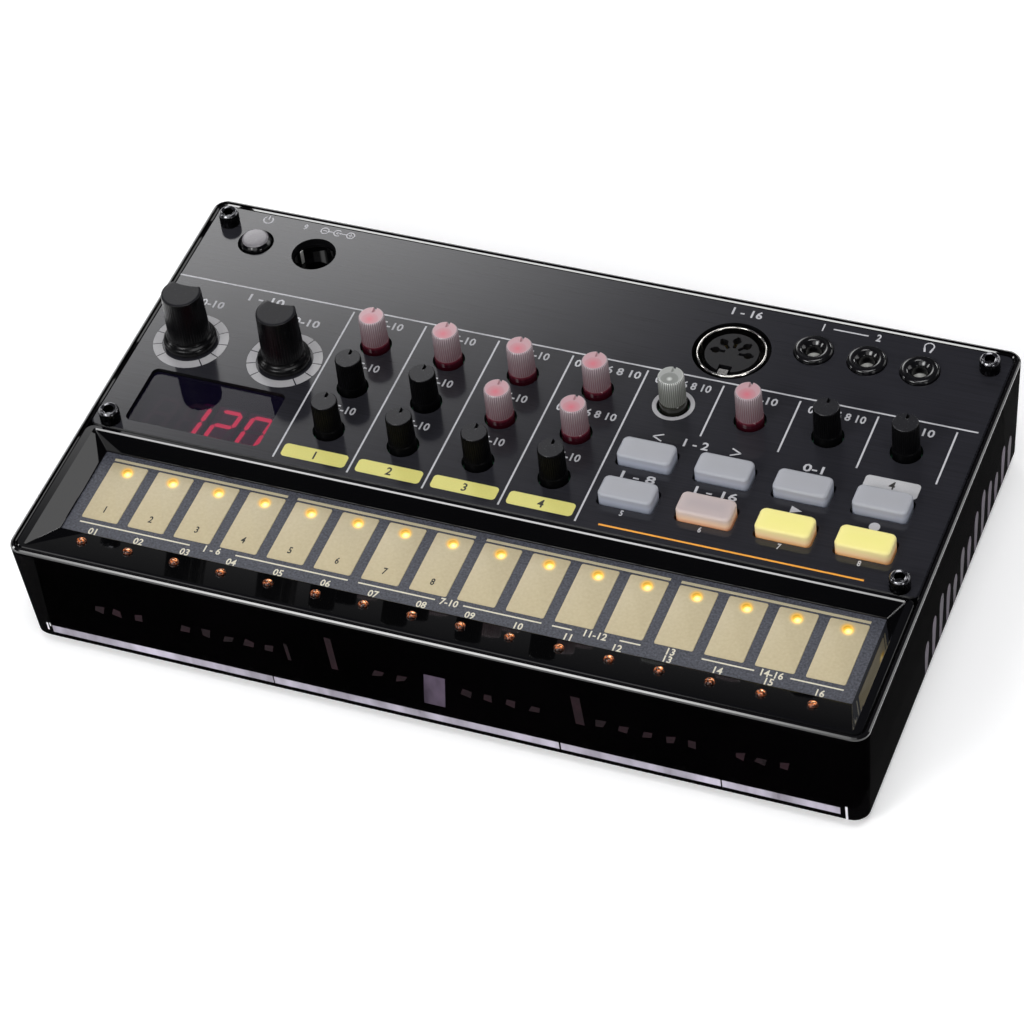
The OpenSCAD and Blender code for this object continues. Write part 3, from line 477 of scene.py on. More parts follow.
def mergedCopy(node, name, finish, body, sharp, upper=None, above=0, edge=0.0):
    # a CAD node's loose triangles merged, its flat faces joined, its sharp edges broken by `edge` millimetres
    # and its normals weighted by face size; above a height its faces take the upper finish, as in dress
    form = bmesh.new()
    form.from_mesh(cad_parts[node].data)
    bmesh.ops.remove_doubles(form, verts=form.verts, dist=2e-6)
    bmesh.ops.dissolve_limit(form, angle_limit=math.radians(0.4), verts=form.verts, edges=form.edges)
    mesh = bpy.data.meshes.new(name)
    form.to_mesh(mesh)
    form.free()
    mesh.polygons.foreach_set("use_smooth", np.ones(len(mesh.polygons), bool))
    mesh.set_sharp_from_angle(angle=math.radians(sharp))
    dress(mesh, finish, upper, above)
    piece = bpy.data.objects.new(name, mesh)
    bpy.context.scene.collection.objects.link(piece)
    if edge:
        broken = piece.modifiers.new("brokenEdges", "BEVEL")
        broken.width, broken.segments, broken.limit_method = edge * mm, 2, "ANGLE"
        broken.angle_limit = math.radians(50)
    weighNormals(piece)
    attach(piece, body)
    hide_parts(node)
    return piece


# The tub keeps its own form; above 29 mm it takes the rim finish
mergedCopy("case_tub", "caseTub", smokedCase, "case", 42, polishedRim, 29.0, 0.22)

# The black surround of the touch pads: one profile, given for each of its rings
surround = {
    "halfWidth": [89.6, 92.8, 92.8, 95.0, 95.0, 94.8, 93.1, 92.88, 92.85, 89.75, 89.6],
    "front": [-45.3, -53.8, -53.8, -56.0, -56.0, -55.8, -55.15, -54.93, -54.9, -45.75, -45.3],
    "back": [-21.3, -18.4, -18.4, -17.9, -17.9, -18.1, -18.8, -19.06, -19.1, -21.2, -21.3],
    "height": [26.02, 26.02, 28.0, 28.0, 30.05, 30.2, 30.2, 29.94, 29.9, 26.55, 26.3],
    "corner": [0.3, 1.8, 1.8, 2.0, 2.0, 1.85, 0.5, 0.33, 0.3, 0.3, 0.3],
}


def buildSurround(s):
    # one closed profile carried round the well: out along the foot, up, over the rim and down the slopes
    half = np.array(s["halfWidth"])
    boxes = np.stack([-half, s["front"], half, s["back"]], -1)
    piece = makePiece("padSurround", [shell(planRings(boxes, s["corner"], s["height"], 9), closed=True)],
                      polishedBlack, "case", ["pad_surround"], 12)
    weighNormals(piece)


buildSurround(surround)

# A thin strip stands in the gap between panel and rim; its top slopes 48.6 degrees inwards
gapStrip = {"inner": (95.05, 56.05), "outer": (95.3, 56.3), "low": 28.05, "high": (29.94, 30.22),
            "corner": (1.9, 2.15)}
inner, outer = gapStrip["inner"], gapStrip["outer"]
stripBoxes = [(-wide, -deep, wide, deep) for wide, deep in (inner, outer, outer, inner)]
stripCorners = [gapStrip["corner"][i] for i in (0, 1, 1, 0)]
stripHeights = [gapStrip["low"], gapStrip["low"], gapStrip["high"][1], gapStrip["high"][0]]
makePiece("gapStrip", [shell(planRings(stripBoxes, stripCorners, stripHeights, 9), closed=True)], polishedRim,
          "case", sharp=20)

# The rim's polished edge: along the front and the right a face of 45 degrees and a flat top, while along the
# left and the back it stays under the rounded rim. Insets are from the rim's outline
rimEdge = {"outline": (96.5, 57.5, 3.2), "inset": [0.3, 0.03, 0.0, 0.3, 0.86, 0.86],
           "hidden": [0.6, 0.43, 0.4, 0.82, 0.86, 0.86], "height": [29.6, 29.75, 30.3, 30.6, 30.61, 30.3]}
halfWidth, halfDepth, rimCorner = rimEdge["outline"]
rimBoxes = [(hidden - halfWidth, inset - halfDepth, halfWidth - inset, halfDepth - hidden)
            for inset, hidden in zip(rimEdge["inset"], rimEdge["hidden"])]
rimCorners = rimCorner - np.array(rimEdge["inset"])
makePiece("rimEdge", [shell(planRings(rimBoxes, rimCorners, rimEdge["height"], 13), closed=True)],
          polishedRim, "case", sharp=20)
print("case and surround made")


# The sixteen small knobs, black or clear, with a fluted grip and a pointer slot in the top
smallKnob = {"foot": 3.1, "grip": 3.0, "top": 2.92, "low": 27.8, "footTop": 32.0, "height": 39.1,
             "flutes": 38, "fluteDepth": 0.1, "slot": (0.3, 1.2, 0.75), "shaft": (2.0, 23.8),
             "spot": (0.1, -1.1),
             # shares of the top's radius, ring by ring towards the middle
             "topRings": [0.94, 0.88, 0.8, 0.7, 0.62, 0.55, 0.5, 0.47, 0.44, 0.35, 0.2, 0.04],
             "topAbove": 39.0}
# Eight columns of knobs and keys, three rows of knobs
knobGrid = {"firstX": -42.44, "pitchX": 17.566, "firstY": 22.2, "pitchY": 13.7}
columnX = knobGrid["firstX"] + knobGrid["pitchX"] * np.arange(8)
rowY = knobGrid["firstY"] - knobGrid["pitchY"] * np.arange(3)
knobPlaces = [(x, rowY[0]) for x in columnX] + [(x, y) for y in rowY[1:] for x in columnX[:4]]
knobFinishes = {**{i: pinkAcrylic for i in (1, 2, 3, 4, 6, 11, 12)}, 5: greyAcrylic}


def softStep(value, width):
    # 0 below, 1 above, over `width` with level ends: t*t*(3-2t)
    t = np.clip(value / width + 0.5, 0, 1)
    return t * t * (3 - 2 * t)


def knobShell(k, around=264):
    # grip of a small knob: radius = profile(height) - depth * (1 - |cos(flutes*turn/2)|), the flutes fading
    # in over the foot and out at the top edge. The top's rings shrink to the middle; the pointer slot lowers
    # them
    side = softened([(k["foot"], k["low"]), (k["foot"], k["footTop"] - 0.3), (k["grip"] - 0.1, k["footTop"]),
                     (k["grip"], k["footTop"] + 0.12), (k["top"] + 0.01, k["height"] - 0.4),
                     (k["top"] - 0.06, k["height"] - 0.18), (k["top"] - 0.26, k["height"])], 0.2)
    cuts = np.linspace(0, 1, 5)[1:-1, None]
    long = np.argmax(np.abs(np.diff(side[:, 1]))[4:]) + 4
    side = np.vstack([side[:long + 1], side[long] * (1 - cuts) + side[long + 1] * cuts, side[long + 1:]])
    rings = turned(side, around)
    turn = np.linspace(0, 2 * np.pi, around, endpoint=False)
    fade = softStep(side[:, 1] - k["footTop"] - 0.2, 0.3) * softStep(k["height"] - 0.12 - side[:, 1], 0.25)
    dent = k["fluteDepth"] * (1 - np.abs(np.cos(k["flutes"] * turn / 2))) * fade[:, None]
    dented(rings, dent)
    rings = withTop(rings, k["topRings"])
    half, start, depth = k["slot"]
    inSlot = softStep(half - np.abs(rings[..., 0]), 0.08) * softStep(rings[..., 1] - start, 0.12)
    over = np.maximum(rings[..., 2] - (k["height"] - depth), 0)
    rings[..., 2] -= over * inSlot
    # glow runs 0 to 0.26 up the foot, 0.4 to 0.64 up the grip and from 0.74 to 1 towards a spot on the top, a
    # painted highlight on the grey knob; the flutes' crests |cos|^3 take it to 0.7, by a share that grows up
    # the grip, and so draw pale lines, painted glints
    grip = side[:, 1] > k["footTop"] + 0.05
    glow = np.where(grip, np.interp(side[:, 1], [k["footTop"], k["height"] - 0.1], [0.4, 0.64]),
                    np.interp(side[:, 1], [k["low"], k["footTop"]], [0, 0.26]))
    crest = np.abs(np.cos(k["flutes"] * turn / 2)) ** 3
    fromFoot = (side[:, 1] - k["footTop"]) / (k["height"] - k["footTop"])
    high = (grip * (0.75 + 0.25 * softStep(fromFoot - 0.82, 0.35)))[:, None]
    glow = glow[:, None] * (1 - crest * high) + 0.7 * crest * high
    top = rings[len(side):]
    spot = np.hypot(top[..., 0] - k["spot"][0], top[..., 1] - k["spot"][1])
    return shell(rings), np.concatenate([glow.ravel(), (1 - 0.26 * np.clip(spot / 2.0, 0, 1)).ravel()])


knobBody, knobGlow = knobShell(smallKnob)


def shaft(radius, low, high, around=32):
    # a round pin, closed at both ends
    return shell(turned([(radius, low), (radius, high)], around))


knobShaft = shaft(*smallKnob["shaft"], smallKnob["low"] + 0.01)
# the black knobs' tops take the paler sheenAbs, a painted sheen
for number, place in enumerate(knobPlaces, 1):
    finish = knobFinishes.get(number, flutedAbs)
    lit = finish is not flutedAbs
    makePiece(f"smallKnob_{number}", [moved(knobBody, place), moved(knobShaft, place)], finish,
              f"knob_{number}", [f"knob_{number}"], 40,
              {"glow": np.concatenate([knobGlow, np.zeros(len(knobShaft[0]))])}, None if lit else sheenAbs,
              smallKnob["topAbove"])

# The two large knobs, each with a skirt, a grooved grip and a leaning flat
largeKnob = {"skirt": 6.0, "skirtLow": 30.4, "gripFoot": 32.6, "grip": 4.8, "top": 4.5, "height": 45.0,
             "grooves": 44, "grooveDepth": 0.1, "hollow": 0.45, "flatFoot": 3.7, "flatTop": 2.85,
             "shaft": (3.0, 24.0),
             "topRings": [0.9, 0.7, 0.4, 0.1, 0.02], "topMiddle": (0, -0.7, 0), "topAbove": 44.9}
dialPlaces = [(-83.5, 12.3), (-60.5, 12.3)]


def dialShell(d, around=352):
    # large knob: radius = profile(height) - depth * cos(grooves*turn/2)^16 on the grip, and y is held below
    # the leaning flat, which runs from flatFoot to flatTop and is hollowed by hollow*(1-(x/half)^2) towards
    # the top. The top's rings shrink towards the middle of the D
    side = softened([(d["skirt"] - 0.2, d["skirtLow"]), (d["skirt"], d["skirtLow"] + 0.2), (d["skirt"], 31.5),
                     (5.72, 32.0), (5.2, 32.35), (4.95, d["gripFoot"]), (d["grip"], d["gripFoot"] + 0.35),
                     (d["grip"] - 0.01, 33.4), (4.65, 39.0), (d["top"], d["height"] - 0.3),
                     (d["top"] - 0.07, d["height"] - 0.08), (d["top"] - 0.26, d["height"])], 0.16)
    rings = turned(side, around)
    turn = np.linspace(0, 2 * np.pi, around, endpoint=False)
    fade = softStep(side[:, 1] - 33.1, 0.3) * softStep(d["height"] - 0.6 - side[:, 1], 0.3)
    dent = d["grooveDepth"] * np.cos(d["grooves"] * turn / 2) ** 16 * fade[:, None]
    dented(rings, dent)
    flat = np.interp(side[:, 1], [d["gripFoot"], d["height"] - 0.5, d["height"]],
                     [d["flatFoot"], d["flatTop"], d["flatTop"] - 0.04])
    flat = np.where(side[:, 1] > d["gripFoot"] - 0.05, flat, 99)[:, None]
    half = np.sqrt(np.maximum(side[:, :1] ** 2 - flat ** 2, 1))
    raised = np.clip((side[:, 1:] - d["gripFoot"]) / (d["height"] - d["gripFoot"]), 0, 1)
    hollow = d["hollow"] * raised * np.clip(1 - (rings[..., 0] / half) ** 2, 0, 1)
    rings[..., 1] = np.minimum(rings[..., 1], flat - hollow * (flat < 90))
    return shell(withTop(rings, d["topRings"], d["topMiddle"]))


dialBody = dialShell(largeKnob)
dialShaft = shaft(*largeKnob["shaft"], largeKnob["skirtLow"] + 0.01)
# the dials' tops take the paler dial finish, a painted sheen
for number, place in enumerate(dialPlaces, 1):
    makePiece(f"largeKnob_{number}", [moved(dialBody, place), moved(dialShaft, place)], sparkAbs,
              f"dial_{number}", [f"dial_{number}"], 38, None, dialSheenAbs, largeKnob["topAbove"])

# The eight keys
keyCap = {"width": 12.2, "depth": 6.2, "corner": 1.25, "low": 26.9, "height": 33.0, "edge": 0.7, "wall": 0.8,
          "crown": 0.12, "rows": (5.35, -6.65), "stem": (1.7, 23.9)}
keyPlaces = [(x, y) for y in keyCap["rows"] for x in columnX[4:]]
keyFinishes = {6: warmSilicone, 7: yellowSilicone, 8: yellowSilicone}


def keyShell(k):
    # key cap: the side rises straight, then the inset follows edge*(1-cos) while the height follows edge*sin,
    # and the top swells by `crown`. Inside, a straight hollow comes down again to the open foot
    t = np.linspace(0, np.pi / 2, 8)
    rise = k["height"] - k["crown"] - k["edge"]
    inset = np.concatenate([[0.0, 0.0], k["edge"] * (1 - np.cos(t)), [1.6, 2.4, 2.95]])
    height = np.concatenate([[k["low"], k["low"] + 3.4], rise + k["edge"] * np.sin(t),
                             k["height"] - k["crown"] * np.array([0.5, 0.12, 0.0])])
    w, d = k["width"] - 2 * inset, k["depth"] - 2 * inset
    outer = planRings(centredBoxes(w, d), np.minimum(k["corner"], np.minimum(w, d) / 2 - 0.04), height, 8)
    inside = centredBoxes([k["width"] - 2 * k["wall"]] * 2, [k["depth"] - 2 * k["wall"]] * 2)
    hollow = planRings(inside, [0.6, 0.6], [k["height"] - 1.5, k["low"]], 8)
    # down the inside first, then up the outside: one skin with both ends closed
    return shell(np.vstack([hollow, outer]))


keyBody = keyShell(keyCap)
keyStem = shaft(*keyCap["stem"], keyCap["height"] - 1.4, 24)
for number, place in enumerate(keyPlaces, 1):
    makePiece(f"keyCap_{number}", [moved(keyBody, place), moved(keyStem, place)],
              keyFinishes.get(number, greySilicone),
              f"key_{number}", [f"key_{number}"], 40)

# Power cap: a turned side with a raised grey lens in its top
powerCap = {"place": (-82.2, 46.2), "low": 26.6, "lensAbove": 31.2, "stem": (2.0, 19.5),
            "side": [(3.7, 26.6), (3.7, 30.2), (3.55, 30.6), (3.1, 31.15), (2.98, 31.36), (2.7, 31.48),
                     (1.2, 31.5), (0.05, 31.5)]}
makePiece("powerCap", [moved(shell(turned(softened(powerCap["side"], 0.12), 64)), powerCap["place"]),
                       moved(shaft(*powerCap["stem"], powerCap["low"] + 0.01), powerCap["place"])],
          polishedBlack, "power_button", ["power_button"], 40, None, greyCap,
          powerCap["lensAbove"])
print("knobs and keys made")


# Touch pads: flat tiles with a small rounded edge
padTile = {"width": 8.57, "depth": 16.9, "y": -32.3, "pitch": 11, "inset": [0, 0, 0.03, 0.1],
           "corner": [0.45, 0.45, 0.42, 0.36], "height": [25.3, 25.97, 26.04, 26.06]}
padX = (np.arange(16) - 7.5) * padTile["pitch"]
tileInset = 2 * np.array(padTile["inset"])
tileBoxes = centredBoxes(padTile["width"] - tileInset, padTile["depth"] - tileInset)
tile = shell(planRings(tileBoxes, padTile["corner"], padTile["height"], 5))
makePiece("touchPads", [moved(tile, *[(x, padTile["y"]) for x in padX])], padFilm, "case",
          ["touch_pads"], 30)

# Socket head cap screws of the panel
capScrew = {"places": [(-90.65, 50.8), (90.65, 50.8), (-90.65, -15.4), (90.65, -15.4)], "radius": 2.3,
            "low": 30.0, "height": 33.6, "socket": 2.3, "socketDepth": 2.0, "knurls": 24, "knurlDepth": 0.1,
            "shank": (1.2, 20.4), "sheenAbove": 33.2}


def screwHead(s, around=192):
    # socket head: knurled side of radius r - knurlDepth*|sin(knurls*turn/2)|, a rounded top edge, then the
    # socket, whose radius is half its width divided by the cosine of the turn from the nearest flat
    side = softened([(s["radius"] - 0.1, s["low"]), (s["radius"], s["low"] + 0.2),
                     (s["radius"], s["height"] - 0.9),
                     (s["radius"] - 0.08, s["height"] - 0.45), (s["radius"] - 0.45, s["height"]),
                     (1.65, s["height"]), (1.42, s["height"] - 0.16)], 0.15)
    rings = turned(side, around)
    turn = np.linspace(0, 2 * np.pi, around, endpoint=False)
    fade = softStep(side[:, 1] - s["low"] - 0.3, 0.2) * softStep(s["height"] - 1.0 - side[:, 1], 0.2)
    fade = fade * (side[:, 0] > 2)
    dent = s["knurlDepth"] * np.abs(np.sin(s["knurls"] * turn / 2)) * fade[:, None]
    dented(rings, dent)
    hexagon = s["socket"] / 2 / np.cos((turn + np.pi / 6) % (np.pi / 3) - np.pi / 6)
    deep = s["height"] - s["socketDepth"]
    levels = [(1.0, s["height"] - 0.2), (1.0, deep), (0.5, deep - 0.15), (0.03, deep - 0.2)]
    corner = np.stack([hexagon * np.cos(turn), hexagon * np.sin(turn)], -1)
    inner = np.stack([np.column_stack([corner * share, np.full(around, z)]) for share, z in levels])
    return shell(np.vstack([rings, inner]))


screwShank = shaft(*capScrew["shank"], capScrew["low"] + 0.01, 24)
# the heads' top rims, above sheenAbove, take the paler oxide: painted sheen
makePiece("panelScrews", [moved(screwHead(capScrew), *capScrew["places"]),
                          moved(screwShank, *capScrew["places"])],
          blackOxide, "case", ["panel_screws"], 35, None, oxideSheen, capScrew["sheenAbove"])

# The three small sockets: a body, a round nut over the panel, and a spring ring down in the bore
jackSocket = {"places": {"sync_in_jack": 52.0, "sync_out_jack": 64.2, "phones_jack": 76.2}, "y": 46.2,
              "bore": 1.8, "body": (4.35, 16.6), "floor": 17.4,
              "nut": [(4.35, 30.3), (4.22, 30.66), (3.95, 30.9), (3.6, 31.0), (3.0, 31.0), (2.62, 30.88)],
              "spring": [(0.9, 26.4), (1.79, 26.4), (1.79, 27.7), (0.9, 27.4)]}


def jackShell(j):
    # outside up the body, over the collar and the round nut, then down the bore to its floor
    bore, floor = j["bore"], j["floor"]
    profile = [j["body"]] + j["nut"] + [(bore + 0.35, 30.4), (bore, 30.0), (bore, floor), (0.05, floor)]
    return shell(turned(softened(profile, 0.14), 72))


for node, x in jackSocket["places"].items():
    makePiece(node.replace("_j", "J").replace("_", ""), [moved(jackShell(jackSocket), (x, jackSocket["y"]))],
              collarAbs, "case", [node], 40)

# the spring rings take the darker tin, painted shade of the bores
spring = shell(turned(jackSocket["spring"], 48), closed=True)
springPlaces = [(x, jackSocket["y"]) for x in jackSocket["places"].values()]
makePiece("jackSprings", [moved(spring, *springPlaces)], tinPaintedShade, "case", sharp=35)

# Leaf spring against the left wall of the power inlet
inletLeaf = {"place": (-67.6, 46.0), "box": (4.2, -0.45, 4.45, 0.45), "turn": 158, "heights": [24.8, 28.4]}
leaf = shell(planRings([inletLeaf["box"]] * 2, [0.1, 0.1], inletLeaf["heights"], 4))
makePiece("inletLeaf", [moved(turnedAbout(leaf, inletLeaf["turn"]), inletLeaf["place"])], plainTin, "case",
          sharp=35)

# The round five pin socket
dinSocket = {"place": (34.64, 41.5), "outer": 8.0, "bore": 7.35, "low": 16.6, "height": 29.9,
             "tab": (-1.1, -7.45, 1.1, -5.45), "tabCorner": [0.2, 0.2, 0.1], "tabHeight": [22.6, 29.35, 29.5]}


def dinRing(d):
    # shell of the round socket: up the outside, over the rolled rim, down the bore; and its key tab
    profile = softened([(d["outer"], d["low"]), (d["outer"], d["height"] - 0.35),
                        (d["outer"] - 0.25, d["height"]),
                        (d["bore"] + 0.12, d["height"]), (d["bore"], d["height"] - 0.2),
                        (d["bore"], d["low"])], 0.16, 5, True)
    tab = shell(planRings([d["tab"]] * 3, d["tabCorner"], d["tabHeight"], 4))
    return [moved(shell(turned(profile, 96), closed=True), d["place"]), moved(tab, d["place"])]


makePiece("dinRing", dinRing(dinSocket), nickel, "case", ["din_shell"], 35)

# Small domes on the front slope, each leaning so that it stands square on it
slopeDome = {"y": -49.0, "z": 27.88, "lean": -21.8, "stem": (0.9, -1.2, -0.29),
             "side": [(1.15, -0.3), (1.15, 0.05), (1.08, 0.28), (0.88, 0.5), (0.6, 0.65), (0.3, 0.73),
                      (0.02, 0.75)]}
dome = turnedAbout(shell(turned(slopeDome["side"], 28)), slopeDome["lean"], "x")
domeStem = turnedAbout(shaft(*slopeDome["stem"], 24), slopeDome["lean"], "x")
domePlaces = [(x, slopeDome["y"], slopeDome["z"]) for x in padX]
makePiece("slopeDomes", [moved(dome, *domePlaces), moved(domeStem, *domePlaces)], amberDome, "case",
          ["slope_lights"], 40)
print("pads, screws and sockets made")

# Shapes seen in the smoked walls, as thin slabs that follow each wall's lean: a painted reflection along the
# foot, and what shows through
wall = {"frontY": -56.25, "sideX": 95.25, "low": 2.0, "lean": 1.25 / 28.6, "proud": 0.03, "deep": 0.1}
tableReflection = {"spans": [(-90.3, -37.5), (-37.2, 28.2), (28.6, 64.0), (64.3, 89.9)], "heights": (4.1, 6.3),
             "glints": [(-91.6, 4.6, -91.2, 6.9), (-90.9, 5.9, -90.6, 7.0), (91.0, 2.6, 91.5, 7.0)]}
sockets = {"x": [-76.8, -72.4, -67.4, -56.2, -51.5, -46.1, -41.2, -36.7, -11.4, -6.2, 8.7, 13.5, 18.6, 24.1,
                 38.3, 43.5, 48.9, 53.8, 58.6, 68.9, 73.5, 78.4],
           "size": (2.5, 2.1), "z": 16.2, "pinch": 0.5, "stray": 0.45,
           "posts": [(-32.6, 13.6, -31.8, 19.0), (-22.4, 14.0, -20.9, 24.4), (32.9, 14.4, 34.9, 23.5)],
           "postSkew": -0.3, "patch": (-1.8, 9.5, 3.0, 19.5), "patchSkew": 1.2}
ribs = {"y": np.arange(-14, 53, 5.2), "width": 2.8, "foot": 0.6, "low": 3.4,
        "high": [13, 15.5, 17, 14.5, 12, 15], "crown": 3}


def frontSlab(outline):
    # (x, z) outline on the front wall, listed anticlockwise from the front: y = frontY - lean*(z - low)
    flat = np.asarray(outline, float)
    y = wall["frontY"] - wall["lean"] * (flat[:, 1] - wall["low"])
    near, far = y - wall["proud"], y + wall["deep"]
    return shell(np.stack([np.column_stack([flat[:, 0], v, flat[:, 1]]) for v in (far, near)]))


def sideSlab(outline):
    # (y, z) outline on the right wall: x = sideX + lean*(z - low)
    flat = np.asarray(outline, float)
    x = wall["sideX"] + wall["lean"] * (flat[:, 1] - wall["low"])
    near, far = x + wall["proud"], x - wall["deep"]
    return shell(np.stack([np.column_stack([v, flat[:, 0], flat[:, 1]]) for v in (far, near)]))


def box(x0, z0, x1, z1, skew=0.0):
    # an oblong outline whose upper side is shifted by `skew`
    return [(x0, z0), (x1, z0), (x1 + skew, z1), (x0 + skew, z1)]


# the pale band and its glints along the front wall's foot are a painted reflection of the table
foot, head = tableReflection["heights"]
makePiece("tableReflectionBand", [frontSlab(box(start, foot, stop, head)) for start, stop in tableReflection["spans"]],
          paleReflection, "case", sharp=20)
makePiece("floorGlints", [frontSlab(box(*glint)) for glint in tableReflection["glints"]], whiteGlint, "case",
          sharp=20)
# each socket's outline strays a little from the plain oblong, by seeded random shares of a millimetre
wide, tall = np.array(sockets["size"]) / 2
pinch, middle = sockets["pinch"], sockets["z"]
stray = np.random.default_rng(7).uniform(-sockets["stray"], sockets["stray"], (len(sockets["x"]), 4))
seen = [frontSlab([(x - wide + a, middle - tall + b), (x + wide - pinch, middle - tall - b),
                   (x + wide + c, middle + tall + a), (x - wide + pinch, middle + tall + e)])
        for x, (a, b, c, e) in zip(sockets["x"], stray)]
seen += [frontSlab(box(*post, sockets["postSkew"])) for post in sockets["posts"]]
makePiece("seenSockets", seen, plumGlow, "case", sharp=20)
makePiece("seenPatch", [frontSlab(box(*sockets["patch"], sockets["patchSkew"]))], violetGlow, "case",
          sharp=20)
arch = np.linspace(0, np.pi, 9)
heights = np.resize(ribs["high"], len(ribs["y"]))
ribSlabs = []
for y, top in zip(ribs["y"], heights):
    # a slat with an elliptic top: y = middle + half width * cos, z = shoulder + crown * sin
    half = ribs["width"] / 2
    crown = np.column_stack([y + half * np.cos(arch), top - ribs["crown"] + ribs["crown"] * np.sin(arch)])
    base = [(y - half * ribs["foot"], ribs["low"]), (y + half * ribs["foot"], ribs["low"])]
    ribSlabs.append(sideSlab(np.vstack([base, crown])))
makePiece("seenRibs", ribSlabs, violetGlow, "case", sharp=20)
print("shapes behind the smoked walls made")

# Print: thin closed slabs of ink on the panel, the pads and the pad sheet
panelInk, padInk, sheetInk = (29.99, 30.03), (26.05, 26.085), (25.97, 26.01)


def slab(outline, low, high):
    # a flat outline, listed anticlockwise, carried from one height to the other and closed at both ends
    flat = np.asarray(outline, float)
    return shell(np.stack([np.column_stack([flat, np.full(len(flat), z)]) for z in (low, high)]))


def strokes(lines, width, low, high):
    # straight strokes (x, y, x, y), each a box: its corners are the ends, half the width to either side
    ends = np.asarray(lines, float).reshape(-1, 2, 2)
    along = ends[:, 1] - ends[:, 0]
    side = np.stack([-along[:, 1], along[:, 0]], -1)
    side = side / np.linalg.norm(along, axis=1, keepdims=True) * width / 2
    corners = np.stack([ends[:, 0] - side, ends[:, 1] - side, ends[:, 1] + side, ends[:, 0] + side], 1)
    return [slab(c, low, high) for c in corners]


def arcBand(place, inner, outer, start, stop, low, high):
    # part of a flat ring: along the outer arc (cos, sin)*outer, then back along the inner one
    turn = np.radians(np.linspace(start, stop, int(abs(stop - start) / 5) + 3))
    arc = np.stack([np.cos(turn), np.sin(turn)], -1)
    return slab(np.vstack([arc * outer, arc[::-1] * inner]) + np.asarray(place), low, high)


def ringBand(place, inner, outer, low, high):
    # a whole flat ring: its square section carried round its middle
    return moved(shell(turned([(inner, low), (outer, low), (outer, high), (inner, high)], 96), closed=True),
                 place)


def tagPlate(box, corner, low, high):
    # a flat plate over (xLow, yLow, xHigh, yHigh) with rounded corners
    return shell(planRings([box, box], [corner, corner], [low, high], 6))


def numbers(word, x, y, height, width=None, level=panelInk, narrow=0.76):
    # built-in font scaled to `height` high and `width` wide, or `narrow` of its own width, about its middle
    curve = bpy.data.curves.new("ink", "FONT")
    curve.body, curve.extrude, curve.resolution_u, curve.offset = word, 0.5, 2, 0.02
    mesh = bpy.data.meshes.new_from_object(bpy.data.objects.new("ink", curve))
    points, total = np.empty(len(mesh.vertices) * 3), np.empty(len(mesh.polygons), int)
    corners = np.empty(len(mesh.loops), int)
    mesh.vertices.foreach_get("co", points)
    mesh.polygons.foreach_get("loop_total", total)
    mesh.loops.foreach_get("vertex_index", corners)
    points, merged = np.unique(np.round(points.reshape(-1, 3), 5), axis=0, return_inverse=True)
    merged, starts = merged.ravel()[corners], np.cumsum(total) - total
    faces = [merged[starts[total == n][:, None] + np.arange(n)] for n in np.unique(total)]
    low, high = points.min(0), points.max(0)
    upright = height / (high[1] - low[1])
    scale = np.array([width / (high[0] - low[0]) if width else upright * narrow, upright,
                      level[1] - level[0]])
    return (points - (low + high) / 2) * scale + (x, y, sum(level) / 2), faces


